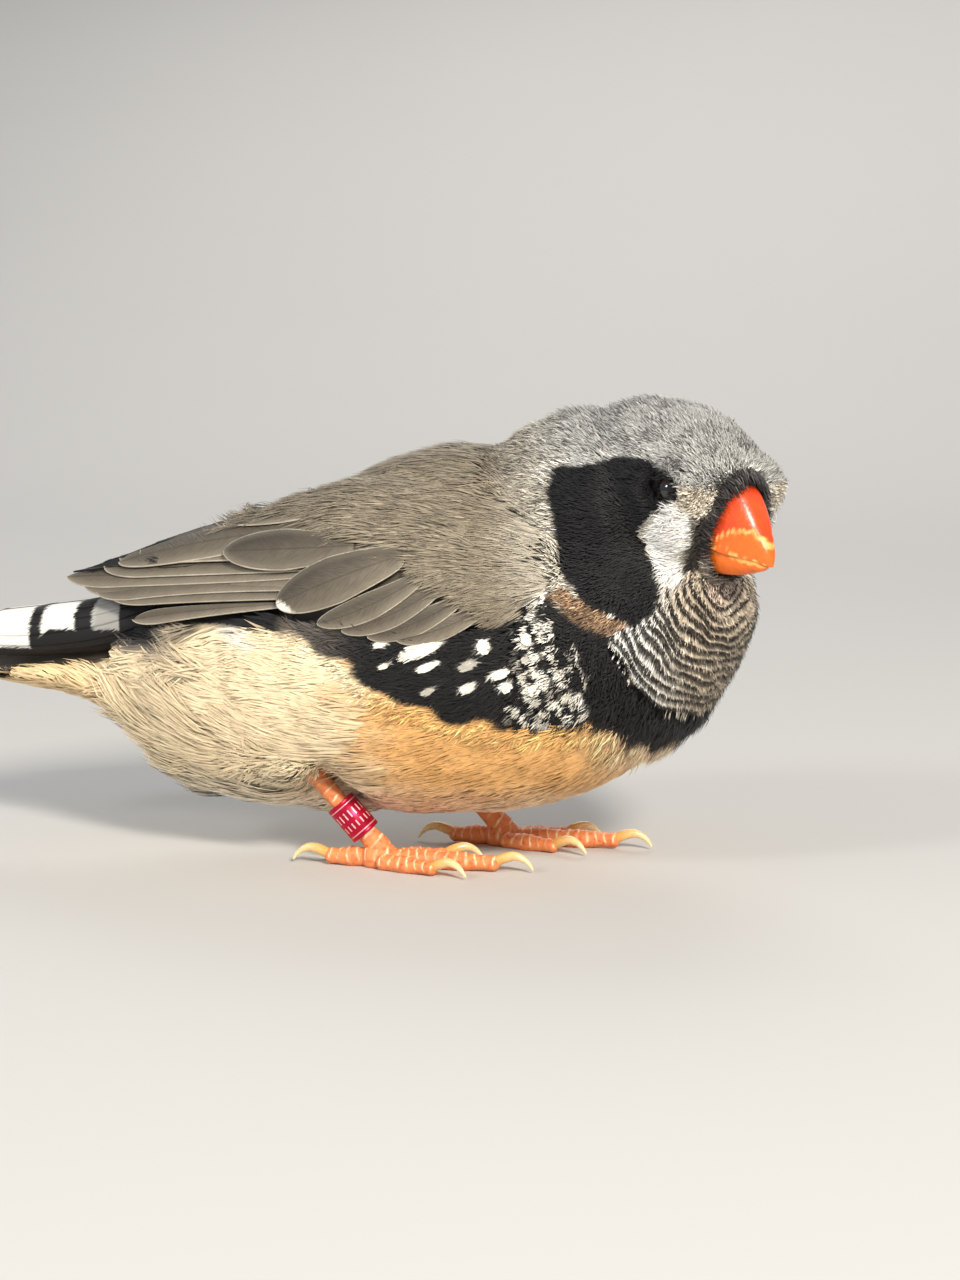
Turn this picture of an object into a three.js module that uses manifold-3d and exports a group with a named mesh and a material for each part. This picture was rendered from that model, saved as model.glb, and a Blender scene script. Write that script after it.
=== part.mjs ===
// Zebra finch, a life-size still model crouching on a flat floor, in millimetres.
// +X is the way the body faces, +Y its left side and +Z up. Sizes below are first given
// with z = 0 at the floor and y = 0 on the body's midline. The last lines move the whole
// bird so that the origin is under the middle of its bounding box.
import * as THREE from "three";
import { mergeVertices } from "three/addons/utils/BufferGeometryUtils.js";
import Module from "manifold-3d";

const wasm = await Module();
wasm.setup();

// Parting
const GAP = 0.3; // clear space between neighbouring pieces
const BIG = 400; // side of the blocks that stand for half of space

// Trunk: x, top, bottom and half width of each cross section, out to the feather tips
const TRUNK_SECTIONS = [
  [-47, 27.0, 17.8, 4.4],
  [-42, 31.0, 13.2, 6.4],
  [-38, 34.6, 9.4, 8.6],
  [-34, 36.2, 7.3, 11.0],
  [-28, 38.6, 6.1, 13.6],
  [-20, 42.8, 5.5, 16.0],
  [-11, 47.4, 5.3, 17.4],
  [-3, 49.2, 5.4, 18.0],
  [6, 49.4, 6.2, 17.8],
  [13, 48.0, 8.3, 16.8],
  [20, 45.6, 12.2, 14.4],
  [26, 43.0, 16.2, 11.6],
  [30, 40.0, 20.6, 9.0],
  [33, 37.0, 25.0, 7.0],
];
const TRUNK_END_ROUNDING = [5, 8];
const TRUNK_SQUARENESS = 2.06;

// Neck: a thick ruff of feathers from the shoulders up to the head
const NECK_SPINE = [[1, 0, 34.3], [8, -0.3, 38.0], [14, -1.0, 40.6], [20, -2.2, 42.3], [25, -3.2, 43.6]];
const NECK_RADII = [14.0, 14.0, 13.3, 12.3, 10.6];

// Head: its own frame has a forward, b to the bird's right and c up
const HEAD_CENTRE = new THREE.Vector3(23.6, -2.8, 44.5);
const HEAD_TURN = THREE.MathUtils.degToRad(-37); // turned to the bird's right
const HEAD_NOD = THREE.MathUtils.degToRad(18); // bill pointing below the horizon
const HEAD_SECTIONS = [
  [-11.0, 8.2, -8.6, 8.8],
  [-8, 9.0, -9.6, 10.2],
  [-4, 9.5, -10.4, 10.9],
  [0, 9.6, -10.6, 10.7],
  [3.5, 9.2, -9.8, 9.5],
  [6.5, 8.3, -8.8, 8.7],
  [9.0, 7.1, -7.9, 8.2],
  [10.4, 6.2, -7.2, 7.8],
];
const HEAD_END_ROUNDING = [6, 2.6];
const HEAD_SQUARENESS = 2.1;

// Bill, in the head's frame: distance along the bill, half width, upper and lower edge
const UPPER_BILL_SECTIONS = [
  [7.6, 3.6, 4.6, -2.4],
  [9.9, 3.5, 4.2, -2.7],
  [11.4, 3.2, 3.5, -2.8],
  [13.0, 2.7, 2.1, -2.6],
  [14.6, 1.9, 0.4, -2.5],
  [16.0, 1.1, -1.1, -2.7],
  [17.0, 0.4, -2.4, -3.2],
];
const LOWER_BILL_SECTIONS = [
  [7.6, 3.1, -2.9, -6.2],
  [10.0, 3.1, -3.2, -6.3],
  [11.6, 2.8, -3.2, -5.9],
  [13.0, 2.3, -3.0, -5.3],
  [14.4, 1.6, -2.9, -4.5],
  [15.8, 0.8, -3.2, -3.8],
];

// Eyes, in the head's frame
const EYE_RADIUS = 2.15;
const EYE_PLACE = [5.0, 6.3, 2.2];
const EYE_OPENING_RADII = [1.8, 2.7]; // at the eye's middle and 5 mm further out
const EYE_OPENING_DEPTH = 5;

// Folded wing of the right side: x, upper edge (y, z), lower edge (y, z), bow and thickness
const WING_SECTIONS = [
  [13.5, -13.6, 38.6, -15.0, 33.0, 0.4, 1.4],
  [9, -12.6, 41.4, -16.9, 31.2, 1.2, 2.2],
  [4, -11.4, 43.4, -18.1, 29.6, 2.0, 2.4],
  [-4, -9.4, 45.3, -18.3, 28.3, 2.6, 2.4],
  [-12, -6.6, 45.9, -17.3, 28.8, 3.0, 2.4],
  [-19, -3.8, 44.2, -15.4, 29.8, 3.0, 2.2],
  [-26, -2.0, 41.6, -12.9, 30.3, 2.6, 2.0],
  [-34, -1.5, 39.2, -10.2, 30.0, 2.0, 1.7],
  [-41, -1.6, 36.8, -7.8, 29.6, 1.2, 1.4],
  [-46, -2.2, 35.0, -5.6, 30.8, 0.6, 1.1],
  [-50.4, -3.0, 33.4, -3.6, 32.2, 0.1, 0.9],
];
const WING_COVERT_CUT = [[-21, 30], [-6, 44]]; // x, z of two points on the cut
const WING_PRIMARY_CUT = [[-47, 33.4], [-18, 34.6]];

// Tail and its coverts: x, top, bottom and half width
const TAIL_SECTIONS = [
  [-36, 30.4, 26.6, 3.0],
  [-44, 29.4, 23.6, 3.8],
  [-52, 28.3, 22.4, 4.3],
  [-60, 27.2, 21.8, 4.7],
  [-68, 26.0, 21.4, 5.1],
  [-75, 24.9, 21.2, 5.3],
];
const UPPERTAIL_SECTIONS = [
  [-38.5, 33.0, 25.6, 4.8],
  [-45, 30.6, 24.4, 5.0],
  [-53, 29.3, 23.6, 5.2],
  [-60, 28.3, 23.3, 5.4],
  [-66, 27.2, 23.4, 5.5],
];
const UNDERTAIL_SECTIONS = [
  [-34, 30.0, 10.0, 7.0],
  [-42, 25.8, 14.6, 6.0],
  [-46, 24.4, 17.2, 5.4],
  [-52, 23.4, 18.7, 4.8],
  [-58, 22.8, 19.4, 4.0],
  [-63, 22.3, 20.6, 2.6],
];
const RUMP_CUT_X = -41;

// Legs and feet, for the right leg. The left foot stands further forward.
const RIGHT_FOOT = new THREE.Vector3(-10.7, -6.6, 0);
const LEFT_FOOT = new THREE.Vector3(0.8, 9.0, 0);
const FOOT_JOINT_HEIGHT = 2.3;
const TARSUS_LENGTH = 15.5;
const TARSUS_RADIUS = 1.05;
const TARSUS_KNOB_RADIUS = 1.45;
const RIGHT_TARSUS_LEAN = [-0.66, -0.06, 0.75]; // from the foot joint up to the ankle
const LEFT_TARSUS_LEAN = [-0.72, -0.06, 0.69];
const FOOT_PAD = [2.1, 2.5, 1.5]; // half length, half width and half height
const SOLE_SINK = 0.12; // how far a round toe would reach below the floor before it is flat
const TOES = [
  // name, bearing in degrees outward from forward, length to the claw, radius at the root
  ["toe_inner", -19, 8.2, 1.0],
  ["toe_middle", 1, 14.6, 1.15],
  ["toe_outer", 19, 8.4, 1.0],
  ["toe_hind", 180, 6.6, 1.15],
];
const SIDE_TOE_ROOT = 1.45; // how far aside of the foot's middle line an outer or inner toe starts
// Along each toe: share of its length and share of its root's radius
const TOE_STATIONS = [[0.06, 1], [0.4, 0.98], [0.7, 0.88], [1, 0.8]];
const CLAW_REACH = 3.9;
const CLAW_RISE = 1.5;
const CLAW_RADIUS = 0.62;
const CLAW_TIP_HEIGHT = 0.3;
// Along each claw: shares of its reach, of its rise and of its radius
const CLAW_STATIONS = [[-0.13, 0, 1], [0.4, 0.62, 0.9], [0.82, 0.1, 0.55]];
const CLAW_TIP_RADIUS = 0.2;
const BAND_LENGTH = 4.7;
const BAND_BORE_RADIUS = TARSUS_RADIUS + GAP;
const BAND_RADIUS = 1.85;
const BAND_PLACE = 4.6; // from the foot joint to the band's middle, along the tarsus

// Feathered lower leg, where it swells from the belly above the tarsus
const THIGH_RADII = [6.0, 4.0, 5.2];
const RIGHT_THIGH = new THREE.Vector3(-18.6, -9.4, 13.0);
const LEFT_THIGH = new THREE.Vector3(-7.2, 9.8, 12.6);

// Cuts that divide head, neck and trunk: x, z of two points on each cut
const HEAD_CUT = [[6.5, 52], [30.5, 30]];
const COLLAR_CUT = [[-1, 49], [31, 22]];

// Finishes
const finish = (color, roughness, metalness = 0) =>
  new THREE.MeshStandardMaterial({ color, roughness, metalness });
const BROWN_GREY = finish(0x7d7364, 0.8);
const GREY = finish(0x9b968c, 0.8);
const BARRED = finish(0x7f776b, 0.85);
const BUFF = finish(0xe1b98a, 0.85);
const BLACK = finish(0x1b1c1e, 0.8);
const TAN = finish(0xbe965a, 0.85);
const BILL_RED = finish(0xe1461a, 0.35);
const BILL_ORANGE = finish(0xf07814, 0.4);
const EYE_BLACK = finish(0x120c0a, 0.08);
const LEG_ORANGE = finish(0xe1824f, 0.55);
const CLAW_HORN = finish(0xebc882, 0.4);
const BAND_RED = finish(0xbe193c, 0.3, 0.8);

// Value of a table of sections at x, smooth through every row
function sectionAt(rows, x) {
  const last = rows.length - 1;
  const rising = rows[last][0] > rows[0][0];
  let i = 0;
  while (i < last - 1 && (rising ? x > rows[i + 1][0] : x < rows[i + 1][0])) i += 1;
  const from = rows[i];
  const to = rows[i + 1];
  const before = rows[Math.max(i - 1, 0)];
  const after = rows[Math.min(i + 2, last)];
  const span = to[0] - from[0];
  const t = (x - from[0]) / span;
  return from.map((value, k) => {
    const slopeFrom = ((to[k] - before[k]) / (to[0] - before[0])) * span;
    const slopeTo = ((after[k] - value) / (after[0] - from[0])) * span;
    const rise = to[k] - value;
    const squarePart = 3 * rise - 2 * slopeFrom - slopeTo;
    const cubePart = slopeFrom + slopeTo - 2 * rise;
    return value + t * (slopeFrom + t * (squarePart + t * cubePart));
  });
}

// Factor that closes a body to a round end: 1 inside, falling to 0 at either end
function endFactor(x, start, end, rounding) {
  const near = Math.min(Math.abs(x - start) / rounding[0], 1);
  const far = Math.min(Math.abs(end - x) / rounding[1], 1);
  return Math.min(near, far) < 1e-9 ? 0 : Math.sqrt(near * (2 - near) * far * (2 - far));
}

const power = (value, exponent) => Math.sign(value) * Math.abs(value) ** exponent;

// Six times the volume inside a triangle mesh, negative when its faces point inwards
function signedVolume(points, index) {
  const [a, b, c] = [new THREE.Vector3(), new THREE.Vector3(), new THREE.Vector3()];
  let sum = 0;
  for (let i = 0; i < index.count; i += 3) {
    a.fromBufferAttribute(points, index.getX(i));
    b.fromBufferAttribute(points, index.getX(i + 1));
    c.fromBufferAttribute(points, index.getX(i + 2));
    sum += a.dot(b.cross(c));
  }
  return sum;
}

// Solid that can be joined and cut, from a closed surface
function solid(geometry) {
  const bare = geometry.clone();
  bare.deleteAttribute("normal");
  bare.deleteAttribute("uv");
  const merged = mergeVertices(bare, 1e-4);
  const triVerts = Uint32Array.from(merged.index.array);
  if (signedVolume(merged.attributes.position, merged.index) < 0) triVerts.reverse();
  const vertProperties = Float32Array.from(merged.attributes.position.array);
  return new wasm.Manifold(new wasm.Mesh({ numProp: 3, vertProperties, triVerts }));
}

// Closed skin whose place(angle, along) gives each point, along running from 0 to 1
function wrap(around, along, place) {
  const sphere = new THREE.SphereGeometry(1, around, along);
  const { position, uv } = sphere.attributes;
  for (let i = 0; i < position.count; i += 1) {
    const step = Math.round(uv.getX(i) * around - (uv.getY(i) % 1 === 0 ? 0.5 : 0)) / around;
    const [x, y, z] = place(2 * Math.PI * (step % 1), uv.getY(i));
    position.setXYZ(i, x, y, z);
  }
  return sphere;
}

// Body along x with oval sections [x, top, bottom, half width], made larger all round by grow
function ovalBody(rows, rounding, squareness, around, along, grow = 0) {
  const outward = Math.sign(rows[rows.length - 1][0] - rows[0][0]);
  const start = rows[0][0] - outward * grow;
  const end = rows[rows.length - 1][0] + outward * grow;
  return wrap(around, along, (angle, t) => {
    const x = start + (end - start) * (0.5 - 0.5 * Math.cos(Math.PI * t));
    const [, top, bottom, halfWidth] = sectionAt(rows, x);
    const size = endFactor(x, start, end, rounding);
    const exponent = 2 / squareness;
    const y = (halfWidth + grow) * size * power(Math.cos(angle), exponent);
    const z = ((top - bottom) / 2 + grow) * size * power(Math.sin(angle), exponent);
    return [x, y, (top + bottom) / 2 + z];
  });
}

// Round body along a curve, with a radius for each point
function limb(points, radii, around, along, grow = 0) {
  const curve = new THREE.CatmullRomCurve3(points.map((p) => new THREE.Vector3(...p)));
  const rows = radii.map((radius, i) => [i / (radii.length - 1), radius]);
  const length = curve.getLength();
  return wrap(around, along, (angle, t) => {
    const s = 0.5 - 0.5 * Math.cos(Math.PI * t);
    const reach = s * (length + 2 * grow) - grow;
    const at = THREE.MathUtils.clamp(reach / length, 0, 1);
    const centre = curve.getPointAt(at);
    const forward = curve.getTangentAt(at);
    centre.addScaledVector(forward, reach - at * length);
    const side = new THREE.Vector3(-forward.y, forward.x, 0).normalize();
    const up = new THREE.Vector3().crossVectors(forward, side);
    const radius = sectionAt(rows, curve.getUtoTmapping(at))[1];
    const round = [radii[0] / length, radii[radii.length - 1] / length];
    const size = (radius + grow) * endFactor(s, 0, 1, round);
    const half = Math.PI / around;
    centre.addScaledVector(side, size * Math.cos(angle + half));
    centre.addScaledVector(up, size * Math.sin(angle + half));
    return centre.toArray();
  });
}

// Half of space on the side of the cut that its normal points to, keeping half the gap
function halfSpace([[x1, z1], [x2, z2]], side) {
  const block = new THREE.BoxGeometry(BIG, BIG, BIG);
  block.translate(0, 0, side * (BIG / 2 + GAP / 2));
  block.rotateY(-Math.atan2(z2 - z1, x2 - x1));
  block.translate((x1 + x2) / 2, 0, (z1 + z2) / 2);
  return solid(block);
}

const aboveFloor = (() => {
  const block = new THREE.BoxGeometry(BIG, BIG, BIG);
  return solid(block.translate(0, 0, BIG / 2));
})();

// Named mesh from a solid, put in the model
const model = new THREE.Group();
function addPiece(name, body, material) {
  const { vertProperties, triVerts } = body.getMesh();
  const geometry = new THREE.BufferGeometry();
  geometry.setAttribute("position", new THREE.BufferAttribute(vertProperties, 3));
  geometry.setIndex(new THREE.BufferAttribute(triVerts, 1));
  geometry.computeVertexNormals();
  const mesh = new THREE.Mesh(geometry, material);
  mesh.name = name;
  model.add(mesh);
}

// Head frame: columns are forward, right and up of the turned and nodding head
const headMatrix = (() => {
  const forward = new THREE.Vector3(Math.cos(HEAD_TURN), Math.sin(HEAD_TURN), 0);
  forward.multiplyScalar(Math.cos(HEAD_NOD)).setZ(-Math.sin(HEAD_NOD));
  const right = new THREE.Vector3(Math.sin(HEAD_TURN), -Math.cos(HEAD_TURN), 0);
  const up = new THREE.Vector3().crossVectors(right, forward);
  return new THREE.Matrix4().makeBasis(forward, right, up).setPosition(HEAD_CENTRE);
})();
const inHead = (geometry) => solid(geometry.applyMatrix4(headMatrix));

// Eyes and the open ring round each of them
function eyeball(side, grow = 0) {
  const ball = new THREE.SphereGeometry(EYE_RADIUS + grow, 10, 7);
  return inHead(ball.translate(EYE_PLACE[0], side * EYE_PLACE[1], EYE_PLACE[2]));
}

function eyeOpening(side) {
  const [inner, outer] = EYE_OPENING_RADII;
  const funnel = new THREE.CylinderGeometry(outer, inner, EYE_OPENING_DEPTH, 12);
  if (side < 0) funnel.rotateZ(Math.PI);
  const middle = side * (EYE_PLACE[1] + EYE_OPENING_DEPTH / 2);
  return inHead(funnel.translate(EYE_PLACE[0], middle, EYE_PLACE[2]));
}

// Bill halves: an arch over a flat cutting edge, the lower one turned over
const BILL_END_ROUNDING = [0.5, 1.2];
const BILL_RIDGE_SHARPNESS = 1.15;
const BILL_END_HEIGHT = 0.35; // how far up the arch its two ends close
function bill(rows, archSign, grow = 0) {
  const start = rows[0][0] - grow;
  const end = rows[rows.length - 1][0] + grow;
  return inHead(wrap(12, 9, (angle, t) => {
    const a = THREE.MathUtils.lerp(start, end, t);
    const station = THREE.MathUtils.clamp(a, rows[0][0], end - grow);
    const [, halfWidth, upper, lower] = sectionAt(rows, station);
    const edge = archSign > 0 ? lower : upper;
    const crest = archSign > 0 ? upper : lower;
    const size = endFactor(a, start, end, BILL_END_ROUNDING);
    const rise = Math.max(Math.sin(angle), 0) ** BILL_RIDGE_SHARPNESS;
    const b = (halfWidth + grow) * size * Math.cos(angle);
    const flat = edge - archSign * grow;
    const height = BILL_END_HEIGHT * (1 - size) + size * rise;
    return [a, b, flat + (crest + archSign * grow - flat) * height];
  }));
}

// Whole body of flesh and small feathers, before it is parted
const trunkBody = solid(ovalBody(TRUNK_SECTIONS, TRUNK_END_ROUNDING, TRUNK_SQUARENESS, 26, 17));
const neckBody = solid(limb(NECK_SPINE, NECK_RADII, 22, 9));
const headBody = inHead((() => {
  const rows = HEAD_SECTIONS;
  const [start, end] = [rows[0][0], rows[rows.length - 1][0]];
  return wrap(22, 13, (angle, t) => {
    const a = start + (end - start) * (0.5 - 0.5 * Math.cos(Math.PI * t));
    const [, up, down, halfWidth] = sectionAt(rows, a);
    const size = endFactor(a, start, end, HEAD_END_ROUNDING);
    const exponent = 2 / HEAD_SQUARENESS;
    const middle = (up + down) / 2;
    return [
      a,
      halfWidth * size * power(Math.cos(angle), exponent),
      middle + ((up - down) / 2) * size * power(Math.sin(angle), exponent),
    ];
  });
})());

// Folded wing. side is -1 for the right wing and 1 for the left.
function wingBody(side, grow = 0) {
  const rows = WING_SECTIONS;
  const start = rows[0][0] + grow;
  const end = rows[rows.length - 1][0] - grow;
  return solid(wrap(14, 13, (angle, t) => {
    const x = start + (end - start) * (0.5 - 0.5 * Math.cos(Math.PI * t));
    const [, yUpper, zUpper, yLower, zLower, bow, thickness] = sectionAt(rows, x);
    const size = endFactor(x, start, end, [5, 2.5]);
    const width = Math.hypot(yLower - yUpper, zLower - zUpper);
    const [dy, dz] = [(yLower - yUpper) / width, (zLower - zUpper) / width];
    const s = power(Math.cos(angle), 0.7);
    const across = (width / 2 + grow) * size * s;
    const half = (thickness / 2 + grow) * Math.sqrt(size);
    const out = bow * size * (1 - s * s) + half * power(Math.sin(angle), 0.8);
    const y = (yUpper + yLower) / 2 + dy * across + dz * out;
    const z = (zUpper + zLower) / 2 + dz * across - dy * out;
    return [x, -side * y, z];
  }));
}

// Tail, a roof of long feathers, and the coverts over and under it
const tailBody = (grow) => solid(ovalBody(TAIL_SECTIONS, [2, 1.6], 2.4, 12, 8, grow));
const uppertailBody = (grow) => solid(ovalBody(UPPERTAIL_SECTIONS, [2, 4], 2.4, 12, 7, grow));
const undertailBody = solid(ovalBody(UNDERTAIL_SECTIONS, [3, 5], 2.1, 12, 8));

// Tarsus with its knobs at ankle and foot joint, along +Z from the foot joint
function tarsusProfile(grow = 0) {
  const knob = TARSUS_KNOB_RADIUS + grow;
  const shaft = TARSUS_RADIUS + grow;
  const outline = [
    [0, -knob], [0.75 * knob, -0.7 * knob], [knob, 0], [1.12 * shaft, 1.7], [shaft, 3],
    [shaft, TARSUS_LENGTH - 4], [1.1 * shaft, TARSUS_LENGTH - 2], [knob, TARSUS_LENGTH],
    [0.7 * knob, TARSUS_LENGTH + 0.8 * knob], [0, TARSUS_LENGTH + 1.1 * knob],
  ];
  const lathe = new THREE.LatheGeometry(outline.map(([r, z]) => new THREE.Vector2(r, z)), 10);
  return lathe.rotateX(Math.PI / 2);
}

function alongTarsus(geometry, foot, lean) {
  const turn = new THREE.Quaternion().setFromUnitVectors(new THREE.Vector3(0, 0, 1), lean);
  return solid(geometry.applyQuaternion(turn).translate(foot.x, foot.y, foot.z + FOOT_JOINT_HEIGHT));
}

function leg(label, side, foot, leanParts) {
  const lean = new THREE.Vector3(...leanParts).normalize();
  const padAt = (grow) => {
    const ball = new THREE.SphereGeometry(1, 10, 7);
    ball.scale(FOOT_PAD[0] + grow, FOOT_PAD[1] + grow, FOOT_PAD[2] + grow);
    return solid(ball.translate(foot.x, foot.y, FOOT_PAD[2] - SOLE_SINK));
  };
  const footSolid = alongTarsus(tarsusProfile(), foot, lean).add(padAt(0)).intersect(aboveFloor);
  const footSpace = alongTarsus(tarsusProfile(GAP), foot, lean).add(padAt(GAP));
  addPiece(`tarsus_${label}`, footSolid, LEG_ORANGE);
  const spaces = [footSpace];
  TOES.forEach(([name, bearing, length, radius]) => {
    const turn = THREE.MathUtils.degToRad(side * bearing);
    const isSideToe = Math.abs(bearing) > 5 && Math.abs(bearing) < 90;
    const root = isSideToe ? Math.sign(side * bearing) * SIDE_TOE_ROOT : 0;
    const at = (reach, height) => [
      foot.x + Math.cos(turn) * reach,
      foot.y + root + Math.sin(turn) * reach,
      height,
    ];
    const level = radius - SOLE_SINK;
    const toePoints = TOE_STATIONS.map(([share]) => at(length * share, level));
    const toeRadii = TOE_STATIONS.map(([, thickness]) => radius * thickness);
    const clawPoints = CLAW_STATIONS.map(([reach, rise]) =>
      at(length + CLAW_REACH * reach, level + CLAW_RISE * rise));
    clawPoints.push(at(length + CLAW_REACH, CLAW_TIP_HEIGHT));
    const clawRadii = CLAW_STATIONS.map(([, , thickness]) => CLAW_RADIUS * thickness);
    clawRadii.push(CLAW_TIP_RADIUS);
    const toeShape = (grow) => solid(limb(toePoints, toeRadii, 8, 5, grow));
    let toe = toeShape(0).intersect(aboveFloor);
    const wholeClaw = solid(limb(clawPoints, clawRadii, 5, 5));
    const claw = wholeClaw.intersect(aboveFloor).subtract(toeShape(GAP));
    spaces.forEach((space) => {
      toe = toe.subtract(space);
    });
    addPiece(`${name}_${label}`, toe, LEG_ORANGE);
    addPiece(`${name}_${label}_claw`, claw, CLAW_HORN);
    spaces.push(toeShape(GAP));
  });
  return footSpace;
}

const rightLegSpace = leg("right", -1, RIGHT_FOOT, RIGHT_TARSUS_LEAN);
const leftLegSpace = leg("left", 1, LEFT_FOOT, LEFT_TARSUS_LEAN);

// Leg band: a plain metal tube round the right tarsus
const bandTube = (radius, length) => {
  const tube = new THREE.CylinderGeometry(radius, radius, length, 18);
  tube.rotateX(Math.PI / 2).translate(0, 0, BAND_PLACE);
  return alongTarsus(tube, RIGHT_FOOT, new THREE.Vector3(...RIGHT_TARSUS_LEAN).normalize());
};
const bandBore = bandTube(BAND_BORE_RADIUS, BAND_LENGTH + 2);
addPiece("leg_band", bandTube(BAND_RADIUS, BAND_LENGTH).subtract(bandBore), BAND_RED);

// Feathered lower legs
function thighBody(place, grow) {
  const ball = new THREE.SphereGeometry(1, 12, 6);
  ball.scale(THIGH_RADII[0] + grow, THIGH_RADII[1] + grow, THIGH_RADII[2] + grow);
  ball.rotateY(THREE.MathUtils.degToRad(-30));
  return solid(ball.translate(...place.toArray()));
}
const bandSpace = bandTube(BAND_RADIUS + GAP, BAND_LENGTH + 2 * GAP);
const legSpace = rightLegSpace.add(leftLegSpace).add(bandSpace);
addPiece("thigh_right", thighBody(RIGHT_THIGH, 0).subtract(legSpace), BUFF);
addPiece("thigh_left", thighBody(LEFT_THIGH, 0).subtract(legSpace), BUFF);
const thighSpace = thighBody(RIGHT_THIGH, GAP).add(thighBody(LEFT_THIGH, GAP));

// Wings, each parted into coverts, secondaries and primaries
for (const [label, side] of [["right", -1], ["left", 1]]) {
  const wing = wingBody(side);
  const rear = wing.intersect(halfSpace(WING_COVERT_CUT, 1));
  addPiece(`wing_${label}_coverts`, wing.intersect(halfSpace(WING_COVERT_CUT, -1)), BROWN_GREY);
  addPiece(`wing_${label}_secondaries`, rear.intersect(halfSpace(WING_PRIMARY_CUT, 1)), BROWN_GREY);
  addPiece(`wing_${label}_primaries`, rear.intersect(halfSpace(WING_PRIMARY_CUT, -1)), BROWN_GREY);
}
const wingSpace = wingBody(-1, GAP).add(wingBody(1, GAP));

// Bill, eyes and the head that holds them
addPiece("bill_upper", bill(UPPER_BILL_SECTIONS, 1), BILL_RED);
addPiece("bill_lower", bill(LOWER_BILL_SECTIONS, -1), BILL_ORANGE);
addPiece("eye_right", eyeball(1), EYE_BLACK);
addPiece("eye_left", eyeball(-1), EYE_BLACK);
const headSpace = bill(UPPER_BILL_SECTIONS, 1, GAP).add(bill(LOWER_BILL_SECTIONS, -1, GAP))
  .add(eyeball(1, GAP)).add(eyeball(-1, GAP)).add(eyeOpening(1)).add(eyeOpening(-1));

// Head, neck, trunk and undertail from one body by thin cuts
const rumpCut = [[RUMP_CUT_X, 40], [RUMP_CUT_X, 0]];
const flesh = trunkBody.add(neckBody).add(headBody).add(undertailBody)
  .subtract(wingSpace).subtract(thighSpace).subtract(legSpace).subtract(headSpace)
  .subtract(tailBody(GAP)).subtract(uppertailBody(GAP));
const front = flesh.intersect(halfSpace(rumpCut, 1));
const belowHead = front.intersect(halfSpace(HEAD_CUT, -1));
addPiece("head", front.intersect(halfSpace(HEAD_CUT, 1)), GREY);
addPiece("neck", belowHead.intersect(halfSpace(COLLAR_CUT, 1)), BARRED);
addPiece("trunk", belowHead.intersect(halfSpace(COLLAR_CUT, -1)), BUFF);
addPiece("undertail_coverts", flesh.intersect(halfSpace(rumpCut, -1)), TAN);
addPiece("uppertail_coverts", uppertailBody(0).subtract(tailBody(GAP)).subtract(wingSpace), BLACK);
addPiece("tail", tailBody(0), BLACK);

// The origin goes under the middle of the bounding box, at floor level
const box = new THREE.Box3().setFromObject(model);
const middle = box.getCenter(new THREE.Vector3());
model.position.set(-middle.x, -middle.y, -box.min.z);

export default model;
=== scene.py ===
import math

import bmesh
import bpy
import numpy as np
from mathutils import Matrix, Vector
from mathutils.bvhtree import BVHTree


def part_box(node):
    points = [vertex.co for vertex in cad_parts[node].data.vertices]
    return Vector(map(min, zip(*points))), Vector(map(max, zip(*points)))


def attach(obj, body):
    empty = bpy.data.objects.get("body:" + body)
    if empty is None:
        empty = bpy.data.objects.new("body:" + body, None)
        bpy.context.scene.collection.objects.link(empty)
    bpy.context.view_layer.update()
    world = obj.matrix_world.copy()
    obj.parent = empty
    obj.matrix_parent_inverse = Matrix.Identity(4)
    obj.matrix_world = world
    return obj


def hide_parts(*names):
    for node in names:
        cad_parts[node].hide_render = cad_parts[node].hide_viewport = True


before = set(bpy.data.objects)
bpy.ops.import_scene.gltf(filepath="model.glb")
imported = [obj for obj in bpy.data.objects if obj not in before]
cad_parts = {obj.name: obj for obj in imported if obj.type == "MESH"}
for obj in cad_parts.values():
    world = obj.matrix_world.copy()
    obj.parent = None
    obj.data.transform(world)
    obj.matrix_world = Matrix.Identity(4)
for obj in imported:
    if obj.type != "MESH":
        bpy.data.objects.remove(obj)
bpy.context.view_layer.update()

# Where the bird stands
# Sizes are in millimetres from the point on the floor under the middle of the bird's body, with +X the way
# the body faces. The end of the tail is the one place that ties them to the frame, which is in metres.
MM = 0.001
TAIL_TIP_X = -75.0
BODY_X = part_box("tail")[0].x / MM - TAIL_TIP_X


def to_frame(points):
    """Places in metres of the frame, from millimetres of the bird."""
    return (np.asarray(points, float) + (BODY_X, 0, 0)) * MM


def to_bird(points):
    """Millimetres of the bird, from places in metres of the frame."""
    return np.asarray(points, float) / MM - (BODY_X, 0, 0)


# Camera
# It looks at the bird's right flank from a little ahead, from just above the height of its back.
VIEW_MIDDLE = Vector((0, 0, 26.2))
VIEW_TURN = math.radians(12)
VIEW_RISE = math.radians(7)
VIEW_DISTANCE = 300.0
PHOTO_HEIGHT = 1280
FOCAL_PIXELS = 2550
SENSOR = 36.0
NEAREST_SEEN = 0.01
FARTHEST_SEEN = 20

view_back = Vector((math.sin(VIEW_TURN) * math.cos(VIEW_RISE), -math.cos(VIEW_TURN) * math.cos(VIEW_RISE),
                    math.sin(VIEW_RISE)))
camera = bpy.data.objects.new("camera", bpy.data.cameras.new("camera"))
camera.location = to_frame(VIEW_MIDDLE + view_back * VIEW_DISTANCE)
camera.rotation_euler = (-view_back).to_track_quat("-Z", "Y").to_euler()
camera.data.sensor_width = SENSOR
camera.data.lens = FOCAL_PIXELS / PHOTO_HEIGHT * SENSOR
camera.data.clip_start = NEAREST_SEEN
camera.data.clip_end = FARTHEST_SEEN
bpy.context.scene.collection.objects.link(camera)
bpy.context.scene.camera = camera

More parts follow.
